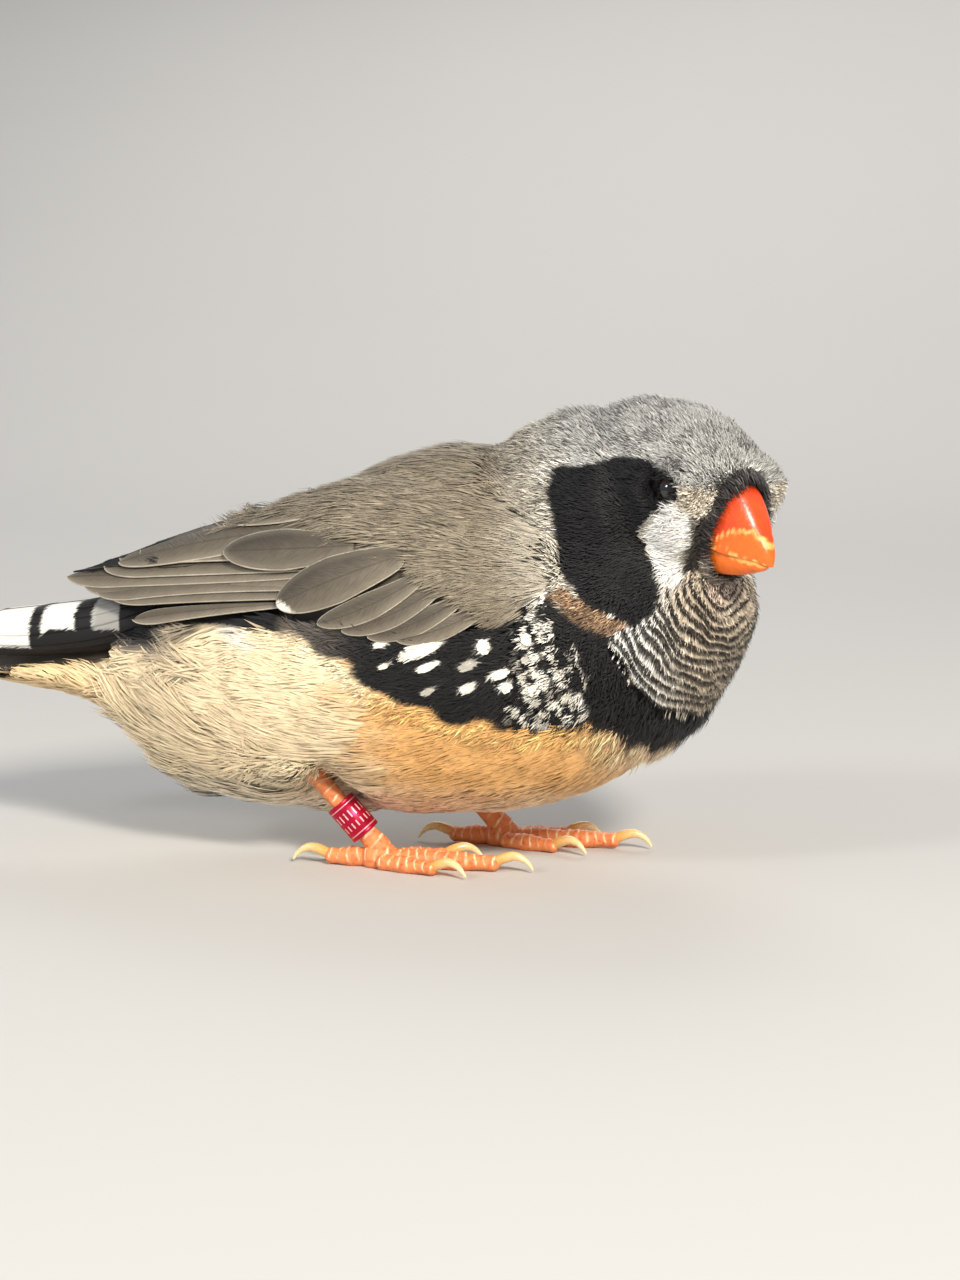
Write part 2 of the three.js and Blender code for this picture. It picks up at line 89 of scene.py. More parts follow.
# Skin
# One unbroken skin over head, neck, trunk, thighs and the fleshy part of the wings, with lids round the eyes.
# It is grown from the solid flesh, swollen to close the thin cuts, and drawn in by the depth of the feathers.
FLESH = ["head", "neck", "trunk", "undertail_coverts", "uppertail_coverts", "thigh_right", "thigh_left"]
WING_FLESH = [f"wing_{side}_{part}" for side in ("right", "left") for part in ("coverts", "secondaries")]
CUT_CLOSING = 0.22
SKIN_CELL = 0.5
SKIN_SMOOTHING = 8
THICKNESS_SHARE = 0.36
BODY_DEPTH = 1.35
BELLY_MORE = 0.35
TAIL_LESS = 0.5
FACE_DEPTH = 0.35
CROWN_MORE = 0.4
WING_DEPTH = 1.55
LEG_HOLLOW = 3.6
LEG_HOLLOW_REACH = 4.2
LEG_PLACES = ((-16.2, -1), (-4.6, 1))
LID_REACH = 3.0
HEAD_CENTRE = np.array((23.6, -2.8, 44.5))
HEAD_TURN = math.radians(-37)
HEAD_NOD = math.radians(18)
EYE_PLACE = (5.5, 6.25, 2.2)
EYE_RADIUS = 2.15
EYE_OPENING = 1.62
BILL_ROOT = (10.0, 0.0, -1.6)

head_forward = np.array((math.cos(HEAD_TURN) * math.cos(HEAD_NOD), math.sin(HEAD_TURN) * math.cos(HEAD_NOD),
                         -math.sin(HEAD_NOD)))
head_right = np.array((math.sin(HEAD_TURN), -math.cos(HEAD_TURN), 0))
head_up = np.cross(head_right, head_forward)
head_axes = np.stack((head_forward, head_right, head_up))


def in_head(points):
    """Ahead, right and up of the head's middle, turned with the head."""
    return (points - HEAD_CENTRE) @ head_axes.T


def from_head(places):
    return np.asarray(places, float) @ head_axes + HEAD_CENTRE


def unit(vectors):
    return vectors / np.maximum(np.linalg.norm(vectors, axis=-1, keepdims=True), 1e-9)


def ease(value, start, end):
    """0 before start, 1 after end, and smooth between them."""
    t = np.clip((value - start) / (end - start), 0, 1)
    return t * t * (3 - 2 * t)


def merged_node(name):
    """A copy of a CAD node's mesh with its loose triangles joined."""
    shape = bmesh.new()
    shape.from_mesh(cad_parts[name].data)
    bmesh.ops.remove_doubles(shape, verts=shape.verts, dist=1e-6)
    shape.normal_update()
    return shape


def new_piece(name, mesh):
    piece = bpy.data.objects.new(name, mesh)
    bpy.context.scene.collection.objects.link(piece)
    return piece


def mesh_arrays(mesh):
    """Vertex places in the bird's millimetres, vertex normals and triangles of a mesh."""
    places = np.zeros(len(mesh.vertices) * 3)
    mesh.vertices.foreach_get("co", places)
    normals = np.zeros(len(mesh.vertices) * 3)
    mesh.vertices.foreach_get("normal", normals)
    mesh.calc_loop_triangles()
    corners = np.zeros(len(mesh.loop_triangles) * 3, int)
    mesh.loop_triangles.foreach_get("vertices", corners)
    return to_bird(places.reshape(-1, 3)), normals.reshape(-1, 3), corners.reshape(-1, 3)


def feather_depth(points):
    """How thick the feathers lie over the skin, in millimetres."""
    head = in_head(points)
    on_head = 1 - ease(np.linalg.norm(head - (0, 0, -1), axis=1), 11.5, 16)
    to_bill = np.linalg.norm(head - BILL_ROOT, axis=1)
    body = BODY_DEPTH + BELLY_MORE * ease(-points[:, 2], -22, -12) - TAIL_LESS * ease(-points[:, 0], 36, 46)
    return body + on_head * (FACE_DEPTH + CROWN_MORE * ease(to_bill, 4, 10) - body)


swollen = bmesh.new()
for node in FLESH + WING_FLESH:
    part = merged_node(node)
    for corner in part.verts:
        corner.co += corner.normal * CUT_CLOSING * MM
    part_mesh = bpy.data.meshes.new(node)
    part.to_mesh(part_mesh)
    part.free()
    swollen.from_mesh(part_mesh)
flesh_mesh = bpy.data.meshes.new("flesh")
swollen.to_mesh(flesh_mesh)
swollen.free()
flesh = new_piece("flesh", flesh_mesh)
cells = flesh.modifiers.new("cells", "REMESH")
cells.mode = "VOXEL"
cells.voxel_size = SKIN_CELL * MM
evening = flesh.modifiers.new("evening", "SMOOTH")
evening.factor = 0.5
evening.iterations = SKIN_SMOOTHING
skin_mesh = bpy.data.meshes.new_from_object(flesh.evaluated_get(bpy.context.evaluated_depsgraph_get()))
skin_mesh.name = "skin"
bpy.data.objects.remove(flesh)

places, normals, _ = mesh_arrays(skin_mesh)
walls = BVHTree.FromPolygons(places.tolist(), [tuple(face.vertices) for face in skin_mesh.polygons])
thickness = np.full(len(places), 50.0)
for i, (place, normal) in enumerate(zip(places.tolist(), normals.tolist())):
    inward = -Vector(normal)
    far_wall = walls.ray_cast(Vector(place) + inward * 0.05, inward, 12)[3]
    if far_wall is not None:
        thickness[i] = far_wall
wing_faces, wing_places = [], []
for node in WING_FLESH:
    wing_part = merged_node(node)
    start = len(wing_places)
    wing_places += [to_bird(corner.co) for corner in wing_part.verts]
    wing_faces += [[start + corner.index for corner in face.verts] for face in wing_part.faces]
    wing_part.free()
wing_tree = BVHTree.FromPolygons(wing_places, wing_faces)
near_wing = np.array([wing_tree.find_nearest(place)[3] for place in places.tolist()])
depth = feather_depth(places)
depth += (WING_DEPTH - depth) * (1 - ease(near_wing, 0.3, 1.2))
depth = np.minimum(depth, THICKNESS_SHARE * thickness)
places -= normals * (depth + CUT_CLOSING)[:, None]
for leg_x, side in LEG_PLACES:
    leg_gap = np.exp(-((places[:, 0] - leg_x) / LEG_HOLLOW_REACH) ** 2) * ease(places[:, 1] * side, 2, 5)
    places[:, 2] += LEG_HOLLOW * leg_gap * (1 - ease(places[:, 2], 9, 15))
skin_mesh.vertices.foreach_set("co", to_frame(places).ravel())
skin_mesh.update()

settled = bmesh.new()
settled.from_mesh(skin_mesh)
calm = [corner for corner in settled.verts if np.linalg.norm(in_head(to_bird(corner.co)[None])[0]) > 11.5]
for _ in range(3):
    bmesh.ops.smooth_vert(settled, verts=calm, factor=0.5, use_axis_x=True, use_axis_y=True, use_axis_z=True)


def off_eye(points):
    """Distance from the middle of the nearer eye, seen from the side of the head."""
    head = in_head(points)
    around = np.hypot(head[:, 0] - EYE_PLACE[0], head[:, 2] - EYE_PLACE[2])
    return np.where(np.abs(head[:, 1]) > 4, around, 99.0)


near_eye = off_eye(to_bird([corner.co for corner in settled.verts])) < LID_REACH
settled.verts.ensure_lookup_table()
lid_edges = [edge for edge in settled.edges if all(near_eye[corner.index] for corner in edge.verts)]
bmesh.ops.subdivide_edges(settled, edges=lid_edges, cuts=3, use_grid_fill=True)
bmesh.ops.triangulate(settled, faces=[face for face in settled.faces if len(face.verts) > 4])
settled.to_mesh(skin_mesh)
settled.free()


def open_round_eyes(points):
    """Draws skin that would cover an eye back behind the eyeball, with a round lid and a fold outside it."""
    head = in_head(points)
    for side in (1, -1):
        off = head[:, [0, 2]] - (EYE_PLACE[0], EYE_PLACE[2])
        around = np.linalg.norm(off, axis=1)
        sideways = head[:, 1] * side
        near = (around < 4.2) & (sideways > 3)
        ball = np.sqrt(np.maximum(EYE_RADIUS ** 2 - around ** 2, 0.3))
        rim = EYE_PLACE[1] + np.sqrt(EYE_RADIUS ** 2 - EYE_OPENING ** 2)
        lid = rim + 0.3 * np.sqrt(np.clip(1 - ((around - EYE_OPENING - 0.2) / 0.28) ** 2, 0, 1))
        fold = rim + 0.02 + 0.16 * np.exp(-((around - EYE_OPENING - 0.85) / 0.22) ** 2)
        hidden = EYE_PLACE[1] + ball - 0.55
        target = np.where(around < EYE_OPENING, hidden, np.maximum(lid, fold))
        share = 1 - ease(around, EYE_OPENING + 0.9, 3.6)
        sideways = np.where(near, sideways + share * (target - sideways), sideways)
        head[:, 1] = np.where(near, sideways * side, head[:, 1])
    return from_head(head)


places, _, _ = mesh_arrays(skin_mesh)
skin_mesh.vertices.foreach_set("co", to_frame(open_round_eyes(places)).ravel())
skin_mesh.update()
skin_mesh.shade_smooth()
skin = new_piece("skin", skin_mesh)
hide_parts(*FLESH, *WING_FLESH)
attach(skin, "root")

skin_places, skin_normals, skin_triangles = mesh_arrays(skin_mesh)
skin_tree = BVHTree.FromPolygons(skin_places.tolist(), skin_triangles.tolist())


def on_skin(points):
    """The nearest places on the skin and its smooth normals there."""
    found = [skin_tree.find_nearest(point) for point in points.tolist()]
    feet = np.array([hit[0] for hit in found])
    faces = skin_triangles[[hit[2] for hit in found]]
    corner_gap = np.linalg.norm(skin_places[faces] - feet[:, None], axis=2)
    share = 1 / (corner_gap + 0.05)
    return feet, unit((skin_normals[faces] * share[:, :, None]).sum(1))


# Markings
# The pattern of the plumage, the same for skin and feathers: a black cheek and flank, a white lore, wavy bars
# on the throat over a black breast, white flank spots, and a buff belly that turns cream towards the vent.
# Below the wing and above the vent it also holds painted shade.


def linear(red, green, blue):
    """The shader's colour for a colour as seen on a screen, each part from 0 to 255."""
    parts = np.array((red, green, blue)) / 255
    return np.where(parts <= 0.04045, parts / 12.92, ((parts + 0.055) / 1.055) ** 2.4)


CROWN_GREY = linear(168, 167, 162)
NECK_BEIGE = linear(184, 176, 160)
MANTLE_BROWN = linear(134, 123, 105)
CHEEK_BLACK = linear(14, 14, 16)
BAND_BLACK = linear(24, 23, 24)
LORE_WHITE = linear(250, 247, 240)
LORE_BEIGE = linear(204, 192, 172)
BILL_RIM_DARK = linear(56, 53, 51)
CHIN_PALE = linear(214, 192, 174)
THROAT_BEIGE = linear(204, 188, 166)
THROAT_WHITE = linear(236, 233, 226)
BAR_DARK = linear(48, 42, 37)
BELLY_BUFF = linear(238, 182, 114)
BELLY_CREAM = linear(244, 221, 182)
VENT_WHITE = linear(248, 241, 225)
SIDE_WHITE = linear(226, 228, 230)
DOWN_AND_SHADE_GREY = linear(108, 101, 92)
RUMP_GREY = linear(120, 112, 102)
UNDERTAIL_TAN = linear(236, 206, 158)
TAN_PATCH = linear(142, 114, 88)

# Outlines on the side of the head, ahead and up of its middle
CHEEK_OUTLINE = [(-6.2, 0.5), (-5.6, 1.0), (-4.2, 1.2), (-2.8, 1.7), (-1.4, 3.2), (2.2, 4.3), (4.5, 4.5),
                 (6.6, 3.9), (7.6, 2.2), (6.0, 0.7), (4.8, -1.6), (3.9, -3.2), (4.5, -4.7), (5.5, -6.3),
                 (6.8, -8.2), (7.7, -9.4), (8.0, -11.4), (7.4, -12.9), (6.2, -12.6), (4.6, -11.8),
                 (3.0, -11.2), (1.6, -10.4), (-0.5, -8.4), (-2.0, -6.1), (-3.0, -4.0), (-4.4, -2.1),
                 (-5.6, -0.5)]
LORE_OUTLINE = [(6.2, 0.6), (7.6, 1.5), (8.5, 0.6), (8.9, -0.9), (8.8, -3.0), (8.2, -4.6), (7.8, -6.4),
                (8.2, -8.7), (7.0, -8.2), (5.5, -6.3), (4.1, -3.6), (5.0, -1.6)]
LORE_SHADE_OUTLINE = [(6.6, 1.5), (7.0, 3.4), (9.4, 3.6), (9.6, 0.8), (9.2, -0.8), (8.4, 0.6), (7.6, 1.3)]
CHEEK_TAN_OUTLINE = [(1.2, -10.6), (4.6, -11.8), (7.2, -13.0), (6.4, -14.4), (3.0, -13.6), (0.6, -12.0)]
CHEEK_REACH = 21.5
# Outlines on the side of the trunk, ahead and up, where its feathers are black and where they are white
FLANK_OUTLINE = [(-21, 30.0), (-17, 27.4), (-11.2, 25.0), (-8.4, 22.4), (-3.8, 20.7), (0, 19.3), (6, 18.6),
                 (12, 18.8), (16.5, 19.6), (19.5, 26), (18.5, 33), (15, 34.6), (11, 33.8), (8, 31.8),
                 (4.5, 30.0), (-4, 29.2), (-12, 30.5), (-21, 32)]
STRAND_OUTLINE = [(6.5, 19.5), (8.5, 25), (7.5, 30), (9.5, 33.4), (14.5, 34.2), (14.2, 30), (15, 26),
                  (17, 20.5), (12, 19)]
WHITE_SIDE_OUTLINE = [(-31, 28.8), (-23, 25.0), (-20.5, 26.5), (-25, 29.2), (-31, 30)]
# White spots of the flank: ahead, up, long and across, and how white, all slanting down to the rear
FLANK_SPOTS = [(-7.4, 27.7, 2.4, 0.9, 1), (-2.9, 27.2, 6.4, 1.7, 1), (-2.1, 25.4, 3.5, 0.9, 1),
               (4.1, 27.7, 1.8, 2.0, 1), (8.8, 28.5, 1.6, 1.5, 1), (2.4, 25.6, 2.8, 1.2, 0.5),
               (5.8, 24.7, 2.9, 1.2, 1), (6.5, 23.3, 2.0, 1.2, 1), (2.3, 23.1, 2.7, 1.1, 0.9),
               (9.6, 23.1, 1.8, 1.5, 0.9), (-7.1, 25.3, 1.9, 0.6, 0.8), (-2.2, 22.6, 2.1, 0.7, 0.5),
               (9.7, 24.8, 1.1, 0.9, 0.8), (8.6, 26.4, 1.2, 0.9, 0.6)]
SPOT_SLANT = math.radians(22)
# How far aside the dark line between lore and bill lies, at heights from the head's middle
TEAR_HEIGHTS = (-8, -6.4, -3.7, -1.3, 1.0)
TEAR_ASIDE = (5.4, 5.2, 5.6, 5.6, 5.4)
CHIN =np.array((30.8, -8.2, 34.6))
CHIN_REACH = 3.0
THROAT_REACH = 15.6
BAND_REACH = 19.6
FAR_SIDE_STRETCH = 0.72
BAR_SPACING = 1.0
STRAND_SPACING = 1.9


def inside_by(outline, u, v):
    """How far inside an outline each point lies, negative outside it."""
    nearest = np.full(len(u), 1e9)
    inside = np.zeros(len(u), bool)
    for (u1, v1), (u2, v2) in zip(outline, outline[1:] + outline[:1]):
        run, rise = u2 - u1, v2 - v1
        t = np.clip(((u - u1) * run + (v - v1) * rise) / (run * run + rise * rise), 0, 1)
        nearest = np.minimum(nearest, np.hypot(u - u1 - t * run, v - v1 - t * rise))
        if rise:
            inside ^= ((v1 > v) != (v2 > v)) & (u < u1 + (v - v1) * run / rise)
    return np.where(inside, nearest, -nearest)


def drift(points, grain, seed):
    """A smooth wander from about -1 to 1 over distances of about grain millimetres."""
    dice = np.random.default_rng(seed)
    waves = dice.normal(size=(3, 9)) * 2.4 / grain
    phases = dice.uniform(0, 2 * math.pi, 9)
    return np.clip(np.sin(points @ waves + phases).sum(1) / 3, -1, 1)


def paint(colours, mask, colour):
    """Lays a colour over others by a mask from 0 to 1."""
    return colours + (np.asarray(colour) - colours) * mask[:, None]


def from_chin(points):
    """Distance from the chin, shortened on the far side, whose skin is stretched by the turned head."""
    off = points - CHIN
    off[:, 1] = np.where(off[:, 1] > 0, off[:, 1] * FAR_SIDE_STRETCH, off[:, 1])
    return np.linalg.norm(off, axis=1)


def throat_bars(points):
    """Distance across the bars of the throat, which ring the chin and waver a little."""
    return from_chin(points) + 0.3 * drift(points, 2.2, 12)


def throat_pale(points):
    """Colour between the bars: beige in front, nearly white towards the breast and pinkish at the chin."""
    reach = from_chin(points)
    aside = ease(-points[:, 0], -27, -20) * ease(reach, 5, 9)
    pale = THROAT_BEIGE + (THROAT_WHITE - THROAT_BEIGE) * aside[:, None]
    return paint(pale, 1 - ease(reach, CHIN_REACH - 0.6, CHIN_REACH + 0.8), CHIN_PALE)


def strand_bars(points):
    """Distance across the rows of white ticks between throat and flank."""
    return (30 - points[:, 0]) * 0.93 + (40 - points[:, 2]) * 0.36 + 0.3 * drift(points, 3, 13)


def throat_share(points):
    """1 on the barred throat and foreneck, 0 elsewhere."""
    head = in_head(points)
    reach = from_chin(points)
    below = ease(-head[:, 2] + 0.28 * head[:, 0], 7.2, 8.6)
    front = ease(head[:, 0], -3.5, -1.0) * ease(points[:, 0], 9.5, 12.5)
    return below * front * (1 - ease(reach, THROAT_REACH - 0.2, THROAT_REACH + 0.2))


def band_share(points):
    """1 on the black breast, 0 elsewhere."""
    wander = drift(points, 3, 11)
    reach = from_chin(points)
    band = ease(reach + 0.8 * wander, THROAT_REACH - 0.3, THROAT_REACH + 0.3)
    end = BAND_REACH + 1.8 * ease(-points[:, 2], -24, -20)
    band = band * (1 - ease(reach + 1.2 * wander, end - 0.3, end + 0.6))
    return band * ease(-points[:, 2], -33, -31) * ease(points[:, 0], 9, 12)


def markings(points):
    """Colour of the plumage at places given in the bird's millimetres, as rows of red, green and blue, with
    painted shade below the wing.
    """
    x, y, z = points.T
    head = in_head(points)
    ahead, aside, up = head[:, 0], np.abs(head[:, 1]), head[:, 2]
    reach = from_chin(points)
    wander = drift(points, 3, 11)
    on_head = 1 - ease(np.linalg.norm(head - (-1, 0, 0), axis=1), 12, 19)
    colours = np.tile(MANTLE_BROWN, (len(points), 1))
    colours = paint(colours, ease(-x, 22, 34), RUMP_GREY)
    colours = paint(colours, ease(x + 0.25 * (z - 40), 3, 11), NECK_BEIGE)
    colours = paint(colours, on_head * ease(up, -6, 3), CROWN_GREY)
    low = ease(-z - 0.25 * np.minimum(x + 12, 0) + 1.2 * wander, -28.5, -26.5)
    low = low * (1 - ease(-x, 35, 37) * ease(z, 24, 25))
    buff = BELLY_BUFF + (BELLY_CREAM - BELLY_BUFF) * ease(-x + 2 * wander, 4, 16)[:, None]
    buff = paint(buff, ease(-z, -13, -7) * 0.5, VENT_WHITE)
    buff = paint(buff, ease(x, 12, 22) * 0.45, VENT_WHITE)
    colours = colours + (buff - colours) * low[:, None]
    colours = paint(colours, ease(-x, 43, 48) * low, UNDERTAIL_TAN)
    colours = paint(colours, ease(inside_by(WHITE_SIDE_OUTLINE, x, z), 0, 1.5) * 0.6, SIDE_WHITE)
    # A grey-brown patch between x = -31 and -39 above the vent: grey down, and painted shade in the dark gap
    # there between the plume groups.
    down = ease(-x + 0.6 * wander, 31, 33.5) * (1 - ease(-x, 37, 39)) * ease(z, 22.5, 25.5)
    colours = paint(colours, down * 0.75, DOWN_AND_SHADE_GREY)
    # Black behind x = -36, above z = 25, on the skin left bare below the wing: painted shade.
    colours = paint(colours, ease(-x, 36, 38) * ease(z, 24.5, 26), BAND_BLACK)
    # A black band below the wing from x = -18 back, between z = 28.5 and 32: painted shade under the wing.
    painted_shade_under_wing = ease(-x, 18, 21) * ease(z, 28.2, 28.6) * (1 - ease(z, 31, 33))
    colours = paint(colours, painted_shade_under_wing, BAND_BLACK)
    on_side = ease(np.abs(y), 6, 9)
    flank = ease(inside_by(FLANK_OUTLINE, x, z) + 0.7 * wander, -0.3, 0.3) * on_side
    colours = paint(colours, flank, BAND_BLACK)
    colours = paint(colours, flank * ease(-x, 9, 17) * 0.55, DOWN_AND_SHADE_GREY)
    for spot_x, spot_z, long, across, white in FLANK_SPOTS:
        run = (x - spot_x) * math.cos(SPOT_SLANT) + (z - spot_z) * math.sin(SPOT_SLANT)
        rise = (z - spot_z) * math.cos(SPOT_SLANT) - (x - spot_x) * math.sin(SPOT_SLANT)
        spot = 1 - ease(np.hypot(run * 2 / long, rise * 2 / across), 0.65, 0.9)
        colours = paint(colours, spot * white * on_side, VENT_WHITE)
    strand = ease(inside_by(STRAND_OUTLINE, x, z) + 0.5 * wander, -0.4, 0.6) * on_side
    column = np.sin(strand_bars(points) * 2 * math.pi / STRAND_SPACING)
    patchy = ease(0.7 * drift(points, 0.7, 17) + 0.9 * column, 0.05, 0.3)
    colours = paint(colours, strand * patchy, VENT_WHITE)
    colours = paint(colours, throat_share(points), throat_pale(points))
    bars = ease(np.cos(2 * math.pi * throat_bars(points) / BAR_SPACING), 0.2, 0.7)
    colours = paint(colours, throat_share(points) * bars, BAR_DARK)
    colours = paint(colours, band_share(points), BAND_BLACK)
    to_bill = np.linalg.norm(head - BILL_ROOT, axis=1)
    rim = (1 - ease(to_bill + 0.7 * wander, 5.8, 7.6)) * ease(up, -5.5, -3.5)
    colours = paint(colours, rim, BILL_RIM_DARK)
    shade = ease(inside_by(LORE_SHADE_OUTLINE, ahead, up), -0.4, 0.5) * ease(aside, 3.5, 4.5)
    colours = paint(colours, shade, LORE_BEIGE)
    lore = ease(inside_by(LORE_OUTLINE, ahead, up) + 0.2 * wander, -0.2, 0.25) * ease(aside, 3.8, 4.6)
    colours = paint(colours, lore, LORE_WHITE)
    line = aside - np.interp(up, TEAR_HEIGHTS, TEAR_ASIDE) + 0.2 * wander
    tear = (1 - ease(line, -0.2, 0.25)) * ease(aside, 2.5, 3.2) * ease(-up, -1.2, 0.0) * ease(up, -7.8, -6.8)
    colours = paint(colours, tear * ease(ahead, 7.4, 8.2), BAR_DARK)
    near_head = 1 - ease(np.linalg.norm(head, axis=1), CHEEK_REACH - 1, CHEEK_REACH)
    cheek_tan = ease(inside_by(CHEEK_TAN_OUTLINE, ahead, up), -0.3, 0.3) * near_head
    colours = paint(colours, cheek_tan * ease(aside, 5, 6.5), TAN_PATCH)
    cheek = ease(inside_by(CHEEK_OUTLINE, ahead, up) + 0.25 * wander, -0.25, 0.2) * ease(aside, 4.6, 5.6)
    return paint(colours, cheek * near_head, CHEEK_BLACK)


# Feathers of the body
# Each feather is a plume of barbs, each a thin closed sliver that widens from its root and ends in a point.
# Barbs leave the skin low, lie along the body over the feathers behind them, and carry its markings.
PATCH = 0.003
PARTING = (11.5, 0, 3.5)
# Places ahead, and how many degrees feathers point down to the rear there, low on the body and high on it
LOW_SLOPE = ((-40, -28, -18, -8, 2, 14, 22), (-14, -16, -10, 6, 16, 24, 55))
HIGH_SLOPE = ((-30, -10, 10), (16, 12, 10))
BELOW_WING_SLOPE = 32


def lie(points, normals):
    """The way the feathers point along the skin: away from the bill on the head, then back along the body."""
    x, _, z = points.T
    head = in_head(points)
    away = unit((head - PARTING) * (1, 1, 0.9)) @ head_axes
    slope = np.interp(x, *LOW_SLOPE)
    high = ease(z, 28, 38)
    slope = slope * (1 - high) + np.interp(x, *HIGH_SLOPE) * high
    below_wing = np.exp(-((x + 27) / 8) ** 2) * ease(z, 21, 26) * (1 - ease(z, 30, 33))
    slope = np.radians(slope + BELOW_WING_SLOPE * below_wing)
    back = np.stack((-np.cos(slope), np.zeros(len(x)), -np.sin(slope)), 1)
    on_head = 1 - ease(np.linalg.norm(head - (0, 0, -2), axis=1), 12, 19)
    way = away * on_head[:, None] + back * (1 - on_head)[:, None]
    way -= normals * (way * normals).sum(1)[:, None]
    return unit(way)


def turned(way, normals, angle):
    """Each direction turned about its normal by an angle in radians."""
    return way * np.cos(angle)[:, None] + np.cross(normals, way) * np.sin(angle)[:, None]


def scatter(homes, density, dice):
    """Even random roots on the triangles that homes picks, density to each square millimetre."""
    corners = skin_places[skin_triangles]
    area = np.linalg.norm(np.cross(corners[:, 1] - corners[:, 0], corners[:, 2] - corners[:, 0]), axis=1) / 2
    weight = np.cumsum(area * homes * density)
    count = int(weight[-1])
    pick = np.searchsorted(weight, (np.arange(count) + dice.random(count)) / count * weight[-1])
    pick = np.minimum(pick, len(area) - 1)
    u, v = dice.random((2, count))
    folded = u + v > 1
    u, v = np.where(folded, 1 - u, u), np.where(folded, 1 - v, v)
    share = np.stack((1 - u - v, u, v), 1)[:, :, None]
    return (corners[pick] * share).sum(1), unit((skin_normals[skin_triangles[pick]] * share).sum(1))


def plumes(roots, normals, ways, length, width, barbs, dice, silk=0.0):
    """Splits feathers into barbs: the barbs' starts, directions and lengths, and the number of each one's
    feather. Barbs leave both sides of the shaft and end on the feather's rounded outline. silk, up to 1,
    makes them longer and more alike in direction."""
    count = len(roots)
    along = (np.arange(barbs) + 0.5) / barbs
    sides = np.where(np.arange(barbs) % 2, 1.0, -1.0)
    start = along * (0.62 - 0.3 * silk)
    end = np.minimum(start + 0.5 + 0.2 * silk, 1.0 - 0.03 * (barbs - np.arange(barbs)) / barbs)
    outline = np.sin(np.pi * np.clip(end, 0, 1) ** 1.4) ** 0.6 + 0.12
    jitter = dice.normal(size=(2, count, barbs))
    run = (end - start) * length[:, None] * (1 + 0.1 * jitter[0])
    across = sides * outline * width[:, None] / 2 + 0.1 * width[:, None] * jitter[1]
    side_ways = np.cross(normals, ways)
    held = 0.12 + 0.45 * silk
    starts = roots[:, None] + ways[:, None] * (start * length[:, None])[:, :, None]
    starts = starts + side_ways[:, None] * (across * held)[:, :, None]
    reach = ways[:, None] * run[:, :, None] + side_ways[:, None] * (across * (1 - held))[:, :, None]
    owner = np.repeat(np.arange(count), barbs)
    reach = reach.reshape(-1, 3)
    return starts.reshape(-1, 3), unit(reach), np.linalg.norm(reach, axis=1), owner


def unwrap_places(points):
    """Places on an unwrap of the skin: round the body against along it, and the same on the head."""
    head = in_head(points)
    on_head = np.linalg.norm(head, axis=1) < 14
    round_body = np.arctan2(points[:, 1], points[:, 2] - 27)
    round_head = np.arctan2(head[:, 1], head[:, 2])
    return np.where(on_head, round_head, round_body), np.where(on_head, 60 + head[:, 0], points[:, 0])


def bake_cells(points):
    """A cell of its own in the unit square for each barb, in the order of the unwrap in both directions."""
    u, v = unwrap_places(points)
    count = len(points)
    columns = math.ceil(math.sqrt(count))
    column = np.empty(count, int)
    column[np.argsort(u, kind="stable")] = np.arange(count) // columns
    order = np.lexsort((v, column))
    row = np.empty(count, int)
    row[order] = np.arange(count) - np.searchsorted(column[order], column[order])
    return np.stack((column + 0.5, row + 0.5), 1) / columns, min(PATCH, 0.9 / columns)


def lay(starts, ways, length, heights, bend, middles):
    """The line of each barb over the skin: its places and the skin's normals there at the root, each middle
    and the tip. heights are above the skin, and middles shares of the length, each a number or an array."""
    count = len(starts)
    feet, up = on_skin(starts)
    side = np.cross(up, ways)
    rows, ups = [], []
    for station, height in zip((0.0, *middles, 1.0), heights):
        station = np.broadcast_to(station, count)
        along = feet + ways * (station * length)[:, None] + side * (bend * station ** 2 * length)[:, None]
        at, normal = on_skin(along) if station.any() else (feet, up)
        rows.append(at + normal * np.broadcast_to(height, count)[:, None])
        ups.append(normal)
    return rows, ups


